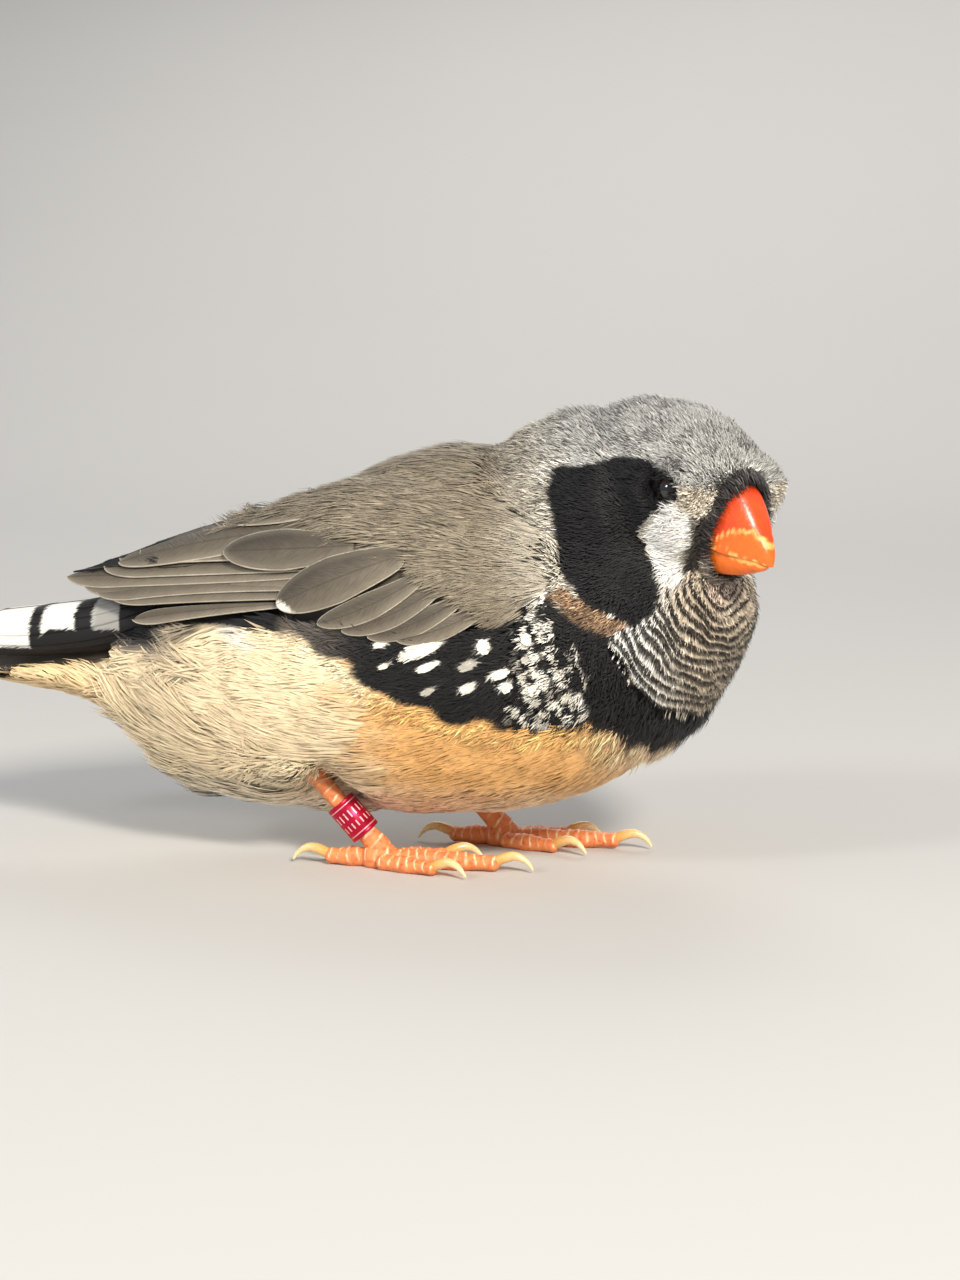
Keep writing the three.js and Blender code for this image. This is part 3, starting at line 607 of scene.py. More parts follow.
def grow(name, rows, ups, width, colours, flatness=0.3, roundness=0.5):
    """Makes one coat piece of barbs. rows are the places along the barbs from root to tip, ups the outward
    directions and colours the colours there. flatness is a barb's height against its width, and roundness how
    far its sides are shaded apart from the coat."""
    count, stations = len(rows[0]), len(rows)
    points, faces, patch, facing = [rows[0]], [], [(0, 0)], [ups[0]]
    for i in range(1, stations - 1):
        way = unit(rows[i + 1] - rows[i - 1])
        across = unit(np.cross(ups[i], way))
        half = across * (width / 2)[:, None] * (1 if i == 1 else 0.8)
        ridge = ups[i] * (width * flatness)[:, None]
        points += [rows[i] + half, rows[i] - half, rows[i] + ridge]
        facing += [unit(ups[i] + across * roundness), unit(ups[i] - across * roundness), ups[i]]
        nominal = i / (stations - 1)
        patch += [(-0.5, nominal), (0.5, nominal), (0, nominal)]
    points.append(rows[-1])
    patch.append((0, 1))
    facing.append(ups[-1])
    for i in range(1, len(points) - 4, 3):
        for a, b in ((0, 2), (2, 1), (1, 0)):
            faces += [(i + a, i + b, i + 3 + b), (i + a, i + 3 + b, i + 3 + a)]
    last, tip = len(points) - 4, len(points) - 1
    faces += [(0, 3, 1), (0, 2, 3), (0, 1, 2)]
    faces += [(last, last + 2, tip), (last + 2, last + 1, tip), (last + 1, last, tip)]
    per = len(points)
    all_points = np.stack(points, 1).reshape(-1, 3)
    all_faces = (np.arange(count)[:, None, None] * per + np.array(faces)).reshape(-1, 3)
    mesh = bpy.data.meshes.new(name)
    mesh.vertices.add(len(all_points))
    mesh.vertices.foreach_set("co", to_frame(all_points).ravel())
    mesh.loops.add(all_faces.size)
    mesh.loops.foreach_set("vertex_index", all_faces.ravel())
    mesh.polygons.add(len(all_faces))
    mesh.polygons.foreach_set("loop_start", np.arange(len(all_faces)) * 3)
    mesh.update(calc_edges=True)
    mesh.normals_split_custom_set_from_vertices(np.stack(facing, 1).reshape(-1, 3).tolist())
    station_of = [0] + [i for i in range(1, stations - 1) for _ in range(3)] + [stations - 1]
    tint = np.ones((count, per, 4))
    for corner, station in enumerate(station_of):
        tint[:, corner, :3] = np.clip(colours[station], 0, 1)
    layer = mesh.color_attributes.new("plumage", "FLOAT_COLOR", "POINT")
    layer.data.foreach_set("color", tint.ravel())
    cells, size = bake_cells(rows[0])
    spots = cells[:, None] + (np.array(patch) - (0, 0.5)) * size
    bake = mesh.uv_layers.new(name="OFBake")
    bake.uv.foreach_set("vector", spots.reshape(-1, 2)[all_faces.ravel()].ravel())
    piece = new_piece(name, mesh)
    mesh.materials.append(feather_material)
    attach(piece, "root")


class Socket:
    """A shader value that can be used in Python arithmetic."""

    def __init__(self, tree, link):
        self.tree, self.link = tree, link

    def node(self, kind, outlet=0, settings=None, **values):
        """Adds a node. settings are its properties. values go to its sockets by name, or by number as _0."""
        made = self.tree.nodes.new(kind)
        for key, value in (settings or {}).items():
            setattr(made, key, value)
        for key, value in values.items():
            socket = made.inputs[int(key[1:])] if key[0] == "_" else made.inputs[key.replace("_", " ")]
            if isinstance(value, Socket):
                self.tree.links.new(value.link, socket)
            else:
                socket.default_value = value
        return Socket(self.tree, made.outputs[outlet])

    def math(self, operation, other=0.0, third=0.0):
        return self.node("ShaderNodeMath", 0, {"operation": operation}, _0=self, _1=other, _2=third)

    def __add__(self, other):
        return self.math("ADD", other)

    def __mul__(self, other):
        return self.math("MULTIPLY", other)

    def __sub__(self, other):
        return self.math("SUBTRACT", other)

    def __rsub__(self, other):
        return self.node("ShaderNodeMath", 0, {"operation": "SUBTRACT"}, _0=other, _1=self)

    __radd__ = __add__
    __rmul__ = __mul__

    def ramp(self, start, end):
        """0 where this value is below start, 1 above end, and smooth between them."""
        settings = {"interpolation_type": "SMOOTHSTEP"}
        return self.node("ShaderNodeMapRange", 0, settings, Value=self, From_Min=start, From_Max=end)

    def mix(self, first, second):
        """first where this value is 0 and second where it is 1, both colours."""
        settings = {"data_type": "RGBA", "clamp_factor": True}
        return self.node("ShaderNodeMix", 2, settings, _0=self, _6=first, _7=second)

    def times_colour(self, colour):
        settings = {"data_type": "RGBA", "blend_type": "MULTIPLY"}
        return self.node("ShaderNodeMix", 2, settings, _0=1.0, _6=colour, _7=self)

    def noise(self, scale, detail=2.0):
        """Cloudy noise from 0 to 1 read at this vector."""
        return self.node("ShaderNodeTexNoise", 0, Vector=self, Scale=scale, Detail=detail)

    def attribute(self, name, outlet=0):
        return self.node("ShaderNodeAttribute", outlet, {"attribute_name": name})


def new_material(name):
    """An empty material with its Principled shader and a socket to start expressions from."""
    material = bpy.data.materials.new(name)
    material.use_nodes = True
    shader = material.node_tree.nodes["Principled BSDF"]
    coordinates = material.node_tree.nodes.new("ShaderNodeTexCoord")
    return material, shader, Socket(material.node_tree, coordinates.outputs["Object"])


def plug(shader, name, value):
    shader.id_data.links.new(value.link, shader.inputs[name])


def bump(shader, height, depth):
    """Small relief from a height of 0 to 1, depth in millimetres."""
    plug(shader, "Normal", height.node("ShaderNodeBump", 0, Height=height, Distance=depth * MM))


feather_material, feather_shader, feather_place = new_material("body feathers")
flecks = feather_place.noise(900.0)
plug(feather_shader, "Base Color", (flecks * 0.5 + 0.75).times_colour(feather_place.attribute("plumage")))
plug(feather_shader, "Roughness", flecks * 0.2 + 0.5)
feather_shader.inputs["Sheen Weight"].default_value = 0.1
feather_shader.inputs["Sheen Roughness"].default_value = 0.5
feather_shader.inputs["Specular IOR Level"].default_value = 0.3

# The skin takes the markings darkened, least where they are light: painted shade between the barbs over it.
skin_layer = skin_mesh.color_attributes.new("plumage", "FLOAT_COLOR", "POINT")
skin_tint = np.ones((len(skin_places), 4))
skin_tint[:, :3] = markings(skin_places)
skin_tint[:, :3] *= 0.35 + 0.5 * skin_tint[:, :3].mean(1, keepdims=True)
skin_layer.data.foreach_set("color", skin_tint.ravel())
skin_mesh.materials.clear()
skin_mesh.materials.append(feather_material)

# Wall of the folded wing
# The outside of the closed wing, arm and folded feathers together, where the coat stops and the vanes lie.
# Each cross section of the right wing: x, upper edge (y, z), lower edge (y, z), bow and thickness.
WING_SECTIONS = [
    (13.5, -13.6, 38.6, -15.0, 33.0, 0.4, 1.4),
    (9, -12.6, 41.4, -16.9, 31.2, 1.2, 2.2),
    (4, -11.4, 43.4, -18.1, 29.6, 2.0, 2.4),
    (-4, -9.4, 45.3, -18.3, 28.3, 2.6, 2.4),
    (-12, -6.6, 45.9, -17.3, 28.8, 3.0, 2.4),
    (-19, -3.8, 44.2, -15.4, 29.8, 3.0, 2.2),
    (-26, -2.0, 41.6, -12.9, 30.3, 2.6, 2.0),
    (-34, -1.5, 39.2, -10.2, 30.0, 2.0, 1.7),
    (-41, -1.6, 36.8, -7.8, 29.6, 1.2, 1.4),
    (-46, -2.2, 35.0, -5.6, 30.8, 0.6, 1.1),
    (-50.4, -3.0, 33.4, -3.6, 32.2, 0.1, 0.9),
]


def table_at(rows, x):
    """Values of a table of sections at each x, smooth through its rows."""
    rows = np.array(rows, float)
    rows = rows[np.argsort(rows[:, 0])]
    x = np.clip(np.asarray(x, float), rows[0, 0], rows[-1, 0])
    i = np.clip(np.searchsorted(rows[:, 0], x, side="right") - 1, 0, len(rows) - 2)
    before, start, end, after = (rows[np.clip(i + step, 0, len(rows) - 1)] for step in (-1, 0, 1, 2))
    span = end[..., :1] - start[..., :1]
    t = (x[..., None] - start[..., :1]) / span
    slope_start = (end - before) / (end[..., :1] - before[..., :1]) * span
    slope_end = (after - start) / (after[..., :1] - start[..., :1]) * span
    rise = end - start
    bend = 3 * rise - 2 * slope_start - slope_end + t * (slope_start + slope_end - 2 * rise)
    return start + t * (slope_start + t * bend)


def wing_section(x):
    """Middle, direction down the wall, width and bulge of the wing's cross section at each x."""
    _, y_up, z_up, y_low, z_low, bow, thick = np.moveaxis(table_at(WING_SECTIONS, x), -1, 0)
    width = np.hypot(y_low - y_up, z_low - z_up)
    dy, dz = (y_low - y_up) / width, (z_low - z_up) / width
    return (y_up + y_low) / 2, (z_up + z_low) / 2, dy, dz, width, bow + thick * 0.45


def wing_wall(x, share, lift=0.0):
    """Places on the outside of the right wing. share is -1 at the upper edge and 1 at the lower one."""
    middle_y, middle_z, dy, dz, width, bulge = wing_section(x)
    out = bulge * np.maximum(1 - share ** 2, -0.5) + lift
    y = middle_y + dy * width / 2 * share + dz * out
    z = middle_z + dz * width / 2 * share - dy * out
    return np.stack((x, y, z), -1)


def wing_share(x, z):
    """The share on the wing's wall that lies at a height z, found by drawing nearer step by step."""
    _, middle_z, dy, dz, width, bulge = wing_section(x)
    share = np.zeros(np.shape(x))
    for _ in range(14):
        out = bulge * np.maximum(1 - share ** 2, -0.5)
        goal = (z - middle_z + dy * out) / (dz * width / 2)
        share = 0.5 * share + 0.5 * np.clip(goal, -1.35, 1.35)
    return share


# Coat of small feathers
# Roots are shared out between the regions triangle by triangle. Feathers are smallest on the face, plain and
# close on head and neck, in broad tufts on the back, silky and long on the belly and loose near the vent.
THIGH_PLACES = ((-18.6, -9.4, 13.0), (-7.2, 9.8, 12.6))
THIGH_REACH = 6.2
# No barb of the coat lies both behind this place and above this height, where the covers of the tail are
TAIL_COVER_X = -44.0
TAIL_COVER_LOW = 23.2

centres = skin_places[skin_triangles].mean(1)
x, y, z = centres.T
centre_head = in_head(centres)
ahead, aside, up = centre_head[:, 0], np.abs(centre_head[:, 1]), centre_head[:, 2]
to_bill = np.linalg.norm(centre_head - BILL_ROOT, axis=1)
ragged = drift(centres, 2.2, 5)
on_head = np.linalg.norm(centre_head - (0, 0, -1), axis=1) < 13 + 0.6 * ragged
wall_share = wing_share(x, z)
wall_y = -wing_wall(x, np.clip(wall_share, -1, 1))[:, 1]
on_wing = (np.abs(wall_share) < 1.03) & (x > WING_SECTIONS[-1][0]) & (x < WING_SECTIONS[0][0])
on_wing &= (np.abs(y) > wall_y - 3.2) & (np.abs(y) < wall_y + 1)
scapular_line = np.interp(x, (-34, -26, -19, -12, -5, 3, 8), (44, 43.4, 42.2, 40.6, 38.4, 36.5, 36))
shoulder_line = np.interp(z, (28, 30, 32, 35, 37, 39), (11, 9, 6.5, 1.0, -2.5, -4.5))

home = np.full(len(centres), "belly_front", dtype=object)
home[x + 1.5 * ragged < -7] = "belly_rear"
home[(x + ragged < -28) & (z < 33)] = "vent"
home[(x < -43) | ((x < -40) & (z < 19))] = "undertail"
home[(x < -32) & (z > 26)] = "rump"
home[((x < -37) & (z > 22.8)) | ((x < -41) & (z > 21.0))] = "bare"
home[(x < -19) & (z > 28.0)] = "bare"
for thigh in THIGH_PLACES:
    home[(np.linalg.norm((centres - thigh) / (1.1, 1, 1), axis=1) < THIGH_REACH) & (z < 14)] = "thighs"
home[(z > 33) & (x < -22)] = "rump"
home[(z > 33) & (x < -36)] = "bare"
home[(z > 33) & (x > -24)] = "mantle"
home[(x + 0.25 * (z - 40) + ragged > 4.5) & (z > 31)] = "neck"
flank_by = inside_by(FLANK_OUTLINE, x, z) + 0.7 * ragged
home[(flank_by > -0.3) & (np.abs(y) > 6)] = "flanks"
home[(inside_by(STRAND_OUTLINE, x, z) + 0.5 * ragged > 0) & (np.abs(y) > 6)] = "strands"
home[on_wing & (z > np.where(x < -17, 28.3, 29)) & (home != "strands")] = "bare"
home[on_wing & (z > scapular_line)] = "mantle"
home[on_wing & (x > shoulder_line) & (home == "bare")] = "shoulders"
home[(z > 30) & (home == "belly_front")] = "shoulders"
home[band_share(centres) > 0.5] = "breast"
home[on_head] = "crown"
home[on_head & (to_bill < 7.2) & (ahead > 5.5)] = "face"
home[throat_share(centres) > 0.5] = "throat"
home[on_head & (inside_by(LORE_OUTLINE, ahead, up) > -0.6) & (aside > 3.8)] = "lores"
near_head = (np.linalg.norm(centre_head, axis=1) < CHEEK_REACH) & (aside > 4.6)
home[near_head & (inside_by(CHEEK_TAN_OUTLINE, ahead, up) > -0.3)] = "neck"
home[near_head & (inside_by(CHEEK_OUTLINE, ahead, up) > -0.2)] = "cheeks"
home[off_eye(centres) < EYE_OPENING + 0.12] = "bare"
home[(ahead > 7.6) & (np.hypot(aside, (up + 1) * 0.72) < 3.5)] = "bare"


def varied(count, owner, spread, dice):
    """How light each barb is: some of it shared by its feather and some its own."""
    return np.exp(dice.normal(size=owner.max() + 1)[owner] * spread * 0.6 + dice.normal(size=count) * spread)


def nape_rise(points):
    """Fuller where the head is drawn back onto the shoulders."""
    return 1 + 1.3 * np.exp(-(((points - (15.5, -2.5, 52.5)) / (4.5, 6, 4)) ** 2).sum(1))


def coat(name, region, density, length, width, thin, barbs, spread, wild, rise=1.0, middles=(0.42,),
         seed=1, sway=0.15, flecked=0.0, grain=1.2, tip=1.15, scruff=0.2, under=0.4, silk=0.0, locks=0.0,
         crisp=False, roundness=0.5, flatness=0.3, tufted=False):
    """Grows one region of plumes, density to a square millimetre. length and width are a feather's, thin is a
    barb's width and barbs their number. spread is how unlike in brightness they are, wild the scatter of
    their directions in radians, sway how far these wander together, and rise how high the tips lie against
    the depth of the coat. flecked is the share of dark barbs, grain the size of their patches, tip how bright
    tips are, partly pale ends and partly a painted highlight, under how bright roots are, a painted shade
    between the barbs, scruff how unevenly the tips stand, and locks how far whole locks stand up.
    crisp barbs take the marking of each place that they cross, tufted ones that of their feather's root."""
    dice = np.random.default_rng(seed)
    roots, normals = scatter(home == region, density, dice)
    size = np.exp(dice.normal(size=len(roots)) * 0.12)
    long = (length(roots) if callable(length) else np.full(len(roots), length)) * size
    wide = np.full(len(roots), width) * size
    ways = lie(roots, normals)
    ways = turned(ways, normals, dice.normal(size=len(roots)) * wild + drift(roots, 5, seed) * sway)
    starts, directions, reach, owner = plumes(roots, normals, ways, long, wide, barbs, dice, silk)
    count = len(starts)
    directions = turned(directions, normals[owner], dice.normal(size=count) * wild * 0.7)
    depths = feather_depth(roots)[owner] * rise * nape_rise(starts)
    depths = depths * (1 + locks * drift(starts, 3.6, seed + 1))
    depths = depths * np.exp(dice.normal(size=len(roots))[owner] * scruff)
    light = varied(count, owner, spread, dice)[:, None]
    dark = dice.random(count) < flecked * (1 + drift(starts, grain, seed + 3))
    light = np.where(dark[:, None], light * 0.35, light)
    heights = [depths * 0.2, depths * 0.75] + [depths * 0.92] * (len(middles) - 1) + [depths]
    rows, ups = lay(starts, directions, reach, heights, dice.normal(size=count) * 0.05, middles)
    # A barb whose line a fold of the skin has caught is left out
    followed =((rows[-1] - rows[0]) * directions).sum(1) > 0.6 * reach
    for row in rows:
        followed &= (row[:, 0] > TAIL_COVER_X) | (row[:, 2] < TAIL_COVER_LOW)
    if crisp:
        colours = [markings(row) * light for row in rows]
    else:
        read_at = roots[owner] if tufted else starts + directions * (reach * 0.6)[:, None]
        colours = [markings(read_at) * light] * len(rows)
    # Roots are darkened as painted shade between the barbs, and tips lightened, partly as a painted
    # highlight.
    colours = [colours[0] * under] + colours[1:-1] + [np.minimum(colours[-1] * tip, 1)]
    thickness = np.full(count, thin) * np.exp(dice.normal(size=count) * 0.15)
    rows, ups, colours = ([part[followed] for part in parts] for parts in (rows, ups, colours))
    grow(name, rows, ups, thickness[followed], colours, flatness, roundness)


def breast_length(points):
    """Short between throat and flank, long and ragged where the black breast ends on the belly."""
    return 1.7 + 2.6 * ease(-points[:, 2], -24, -20)


def barred_coat(name, region, density, spacing, reach_of, dark_share, pale, dark, thin, seed, blank,
                broken):
    """Grows single barbs whose dark tips land on bars, spacing apart in reach_of, the distance across them.
    blank is the share of patches that stay dark, and broken the share of pale gaps in the bars."""
    dice = np.random.default_rng(seed)
    starts, normals = scatter(home == region, density, dice)
    ways = lie(starts, normals)
    ways = turned(ways, normals, dice.normal(size=len(starts)) * 0.08)
    begun = reach_of(starts)
    rate = np.maximum((reach_of(starts + ways * 0.4) - begun) / 0.4, 0.45)
    bar = np.ceil((begun + 0.36 * spacing) / spacing)
    length = np.clip((bar * spacing - begun) / rate, 0.3 * spacing, 1.7 * spacing)
    length = length * np.exp(dice.normal(size=len(starts)) * 0.05)
    light = np.exp(dice.normal(size=len(starts)) * 0.3)[:, None]
    share = np.clip(1 - dark_share * spacing / length, 0.25, 0.8)
    shade = pale(starts) * light
    patch = np.sin(bar * 12.9898 + np.floor(drift(starts, 5, seed + 2) * 9) * 78.233) * 43758.5453
    chance = patch - np.floor(patch)
    stays_dark = (chance < blank) | (dice.random(len(starts)) < blank)
    shade = np.where(stays_dark[:, None], dark * light, shade)
    gap = (chance > 1 - broken) | (dice.random(len(starts)) < broken)
    end = np.where(gap[:, None], shade * 0.75, dark * light)
    depths = feather_depth(starts) * np.exp(dice.normal(size=len(starts)) * 0.1)
    heights = [depths * 0.2, depths * 0.68, depths * 0.82, depths]
    rows, ups = lay(starts, ways, length, heights, 0.0, (share - 0.06, share + 0.06))
    thickness = np.full(len(starts), thin) * np.exp(dice.normal(size=len(starts)) * 0.15)
    # Each barb's root is darkened to half: painted shade between the barbs.
    grow(name, rows, ups, thickness, [shade * 0.5, shade, end, end])


def crown_length(points):
    """Shortest at the bill, longer towards the nape."""
    return 1.0 + 0.8 * ease(np.linalg.norm(in_head(points) - BILL_ROOT, axis=1), 4, 14)


# Each region's density, a feather's length and width, a barb's width, its barbs, spread, wildness and rise
LONG_BARB = (0.35, 0.7)
coat("coat_crown", "crown", 16, crown_length, 0.45, 0.14, 3, 0.2, 0.12, 0.95,
     seed=21, flecked=0.26, grain=2.0, scruff=0.13, under=0.55, locks=0.2)
coat("coat_face", "face", 20, 1.3, 0.35, 0.13, 3, 0.45, 0.2, 1.1,
     seed=23, flecked=0.2, tip=1.4, scruff=0.25)
coat("coat_lores", "lores", 14, 2.6, 0.6, 0.14, 3, 0.1, 0.16, 1.2,
     seed=25, tip=1.05, under=0.7, scruff=0.25)
# The black cheek's tips are lightened much further: a painted glint.
coat("coat_cheeks", "cheeks", 14, 2.2, 0.5, 0.13, 3, 0.45, 0.12, 1.0,
     seed=31, tip=1.6, locks=0.3, roundness=0.7)
barred_coat("coat_throat", "throat", 30, BAR_SPACING, throat_bars, 0.4, throat_pale,
            BAR_DARK, 0.16, seed=41, blank=0.0, broken=0.1)
coat("coat_strands", "strands", 5.0, 1.35, 0.5, 0.17, 6, 0.15, 0.08, 1.05,
     seed=43, sway=0.2, tip=1.0, scruff=0.12, under=0.06, silk=0.3, roundness=0.6, tufted=True)
coat("coat_breast", "breast", 5, breast_length, 1.1, 0.18, 6, 0.3, 0.14, 1.1,
     seed=51, tip=1.2)
coat("coat_neck", "neck", 7.5, 2.4, 0.8, 0.16, 5, 0.24, 0.09, 0.95,
     seed=61, flecked=0.28, tip=1.2, scruff=0.12, under=0.5)
coat("coat_mantle", "mantle", 2.3, 5.4, 2.0, 0.22, 12, 0.2, 0.04, 1.0,
     seed=71, sway=0.22, tip=1.2, scruff=0.12, silk=0.8, locks=0.2, flatness=0.2, roundness=0.4)
coat("coat_shoulders", "shoulders", 3.4, 4.0, 2.0, 0.22, 14, 0.15, 0.05, 1.0,
     seed=81, tip=1.2, scruff=0.1, silk=0.7, flatness=0.2, roundness=0.4)
coat("coat_flanks", "flanks", 3.2, 4.0, 1.6, 0.2, 9, 0.25, 0.1, 1.0, LONG_BARB,
     seed=91, tip=1.2, scruff=0.1, crisp=True, under=1.0)
coat("coat_belly_front", "belly_front", 1.4, 6.0, 1.9, 0.3, 9, 0.05, 0.035, 0.85, LONG_BARB,
     seed=101, tip=1.02, under=0.95, scruff=0.04, silk=0.9, locks=0.1, roundness=0.16, flatness=0.16)
coat("coat_belly_rear", "belly_rear", 1.35, 7.2, 2.2, 0.3, 9, 0.06, 0.04, 0.95, LONG_BARB,
     seed=111, sway=0.16, tip=1.03, under=0.95, scruff=0.05, silk=1.0, locks=0.3, roundness=0.18,
     flatness=0.16)
coat("coat_vent", "vent", 1.2, 7.4, 2.4, 0.26, 9, 0.07, 0.05, 1.15, LONG_BARB,
     seed=121, sway=0.24, tip=1.04, under=0.9, scruff=0.09, silk=1.0, locks=0.45, roundness=0.2,
     flatness=0.18)
coat("coat_rump", "rump", 2.2, 4.0, 2.2, 0.2, 10, 0.2, 0.1, 0.9,
     seed=131, scruff=0.12)
coat("coat_undertail", "undertail", 0.9, 7.0, 2.0, 0.24, 9, 0.07, 0.05, 0.9, LONG_BARB,
     seed=141, under=0.85, scruff=0.08, silk=0.9, roundness=0.25)
coat("coat_thighs", "thighs", 3.4, 2.4, 1.0, 0.2, 6, 0.08, 0.1, 0.7,
     seed=151, under=0.85, roundness=0.3)

# Spots of the flank
# White locks on the black feathers of each flank, one lock of barbs to a spot. They lie just above the black
# barbs round them.
SPOT_BARBS = 11
SPOT_BARB_WIDTH = 0.26
spot_dice = np.random.default_rng(161)
spot_starts, spot_ways, spot_lengths, spot_white = [], [], [], []
for side in (-1, 1):
    for spot_x, spot_z, long, across, white in FLANK_SPOTS:
        count = int(SPOT_BARBS * (1 + long * across))
        v = spot_dice.uniform(-1, 1, count)
        front = np.sqrt(1 - v ** 2) * long * 0.45
        begin = front * spot_dice.uniform(0.1, 1.0, count)
        run = np.minimum(begin + front, long * 0.56) * spot_dice.uniform(0.85, 1.1, count)
        at_x = spot_x + begin * math.cos(SPOT_SLANT) - v * across * 0.36 * math.sin(SPOT_SLANT)
        at_z = spot_z + begin * math.sin(SPOT_SLANT) + v * across * 0.36 * math.cos(SPOT_SLANT)
        for i in range(count):
            hit = skin_tree.ray_cast(Vector((at_x[i], side * 40, at_z[i])), Vector((0, -side, 0)))[0]
            spot_starts.append(hit)
        spot_ways.append(np.tile((-math.cos(SPOT_SLANT), 0, -math.sin(SPOT_SLANT)), (count, 1)))
        spot_lengths.append(run)
        spot_white.append(np.full(count, white))
spot_starts = np.array(spot_starts)
spot_ways = np.concatenate(spot_ways)
spot_ways = spot_ways + spot_dice.normal(size=spot_ways.shape) * 0.06
spot_lengths = np.concatenate(spot_lengths)
spot_light = (np.concatenate(spot_white) * np.exp(spot_dice.normal(size=len(spot_starts)) * 0.12))[:, None]
spot_depth = feather_depth(spot_starts)
spot_colour = VENT_WHITE * spot_light
spot_heights = [spot_depth * 0.95, spot_depth * 1.12, spot_depth * 1.12, spot_depth * 1.1]
spot_rows, spot_ups = lay(spot_starts, unit(spot_ways), spot_lengths, spot_heights, 0.0, (0.2, 0.75))
# Roots are a little darker: painted shade between the barbs.
grow("coat_spots", spot_rows, spot_ups, np.full(len(spot_starts), SPOT_BARB_WIDTH),
     [spot_colour * 0.9, spot_colour, spot_colour, spot_colour])

# Wing feathers
# Firm vanes with a shaft and fine pale edges, each a thin closed blade. They lie on the folded wing like
# tiles: the greater coverts over the secondaries, the tertials on top behind them, and the primaries lowest.
VANE_ROWS = 30
VANE_COLUMNS = 10
VANE_THICKNESS = 0.12
# Share of the wing's wall past which vanes are drawn in at its upper edge, and how far past it they may reach
TOP_EDGE = 0.9
TOP_EDGE_REACH = 0.14
SHAFT_RISE = 0.05
VANE_BROWN = linear(118, 109, 94)
VANE_SHADE = linear(64, 58, 50)

slab = bmesh.new()
bmesh.ops.create_grid(slab, x_segments=VANE_ROWS, y_segments=VANE_COLUMNS, size=1.0)
bmesh.ops.solidify(slab, geom=slab.faces[:], thickness=1.0)
bmesh.ops.recalc_face_normals(slab, faces=slab.faces[:])
slab_mesh = bpy.data.meshes.new("vane")
slab.to_mesh(slab_mesh)
slab.free()
slab_places = np.zeros(len(slab_mesh.vertices) * 3)
slab_mesh.vertices.foreach_get("co", slab_places)
slab_u, slab_v, slab_w = slab_places.reshape(-1, 3).T
slab_s = 1 - (0.5 - slab_u / 2) ** 1.4
slab_d = np.abs(slab_w - slab_w.max())


def oval(s, widest, blunt=2.2):
    """Half width of a vane along it, as a share of its widest, with a narrow root and a round tip."""
    root = 0.3 + 0.7 * np.sqrt(np.clip(s / widest, 0, 1))
    tip = np.sqrt(np.clip(1 - np.clip((s - widest) / (1 - widest), 0, 1) ** blunt, 0, 1))
    return root * np.maximum(tip, 0.1)


def join_vanes(name, vanes, material, replaced):
    """Joins vanes into one piece. Each is its corner places, half width along it in millimetres, length and
    colours."""
    joined = bmesh.new()
    for corners, _, _, _ in vanes:
        one = slab_mesh.copy()
        one.vertices.foreach_set("co", to_frame(corners).ravel())
        joined.from_mesh(one)
        bpy.data.meshes.remove(one)
    bmesh.ops.recalc_face_normals(joined, faces=joined.faces[:])
    mesh = bpy.data.meshes.new(name)
    joined.to_mesh(mesh)
    joined.free()
    loops = np.zeros(len(mesh.loops), int)
    mesh.loops.foreach_get("vertex_index", loops)
    half = np.concatenate([np.maximum(half, 0.01) for _, half, _, _ in vanes])
    long = np.repeat([length for _, _, length, _ in vanes], len(slab_s))
    s, v, d = (np.tile(part, len(vanes)) for part in (slab_s, slab_v, slab_d))
    number = np.repeat(np.arange(len(vanes)), len(slab_s))
    fringe = mesh.attributes.new("fringe", "FLOAT", "POINT")
    fringe.data.foreach_set("value", np.minimum(half * (1 - np.abs(v)), (1 - s) * long))
    tint = np.ones((len(s), 4))
    tint[:, :3] = np.concatenate([colours for _, _, _, colours in vanes])
    mesh.color_attributes.new("plumage", "FLOAT_COLOR", "POINT").data.foreach_set("color", tint.ravel())
    across = mesh.uv_layers.new(name="vane")
    across.uv.foreach_set("vector", np.stack((s * long + 37 * number, half * v), 1)[loops].ravel())
    side = math.ceil(math.sqrt(len(vanes)))
    cell = np.stack((number % side, number // side), 1)
    spread = np.stack((s, 0.5 + 0.47 * v + 0.02 * d * np.sign(v)), 1) * 0.94 + 0.03
    mesh.uv_layers.new(name="OFBake").uv.foreach_set("vector", ((cell + spread) / side)[loops].ravel())
    mesh.shade_smooth()
    mesh.materials.append(material)
    piece = new_piece(name, mesh)
    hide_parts(*replaced)
    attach(piece, "root")


vane_material, vane_shader, vane_place = new_material("wing feathers")


def barb_streaks(place):
    """Fine streaks along the barbs, which leave the shaft at a slant on both sides, and how far aside of the
    shaft each place is."""
    uv = place.node("ShaderNodeUVMap", 0, {"uv_map": "vane"})
    parts = uv.node("ShaderNodeSeparateXYZ", 0, None, Vector=uv)
    along, aside = parts, Socket(place.tree, parts.link.node.outputs[1])
    off = aside.math("ABSOLUTE")
    over = off * 0.9 - along * 0.5
    through = along * 0.9 + off * 0.5
    grain = place.node("ShaderNodeCombineXYZ", 0, None, X=over * 7.0, Y=through * 0.6)
    return grain.noise(1.0, 3.0), aside


streaks, vane_aside = barb_streaks(vane_place)
edge = vane_place.attribute("fringe", 2)
shaft = 1 - vane_aside.math("ABSOLUTE").ramp(0.04, 0.13)
cloudy = vane_place.noise(420.0, 3.0)
body = (streaks * 1.15 + cloudy * 0.5 + 0.2).times_colour(vane_place.attribute("plumage"))
body = (shaft * 0.5).mix(body, (*linear(66, 57, 47), 1))
soft_edge = (1 - (edge + streaks * 0.6).ramp(0.3, 1.3)) * 0.22
body = soft_edge.mix(body, (*linear(172, 161, 141), 1))
pale_edge = (1 - (edge + streaks * 0.14).ramp(0.1, 0.24)) * (cloudy * 1.2 + 0.1)
plug(vane_shader, "Base Color", pale_edge.mix(body, (*linear(206, 196, 178), 1)))
plug(vane_shader, "Roughness", streaks * 0.25 + 0.42)
bump(vane_shader, streaks, 0.11)
vane_shader.inputs["Specular IOR Level"].default_value = 0.35


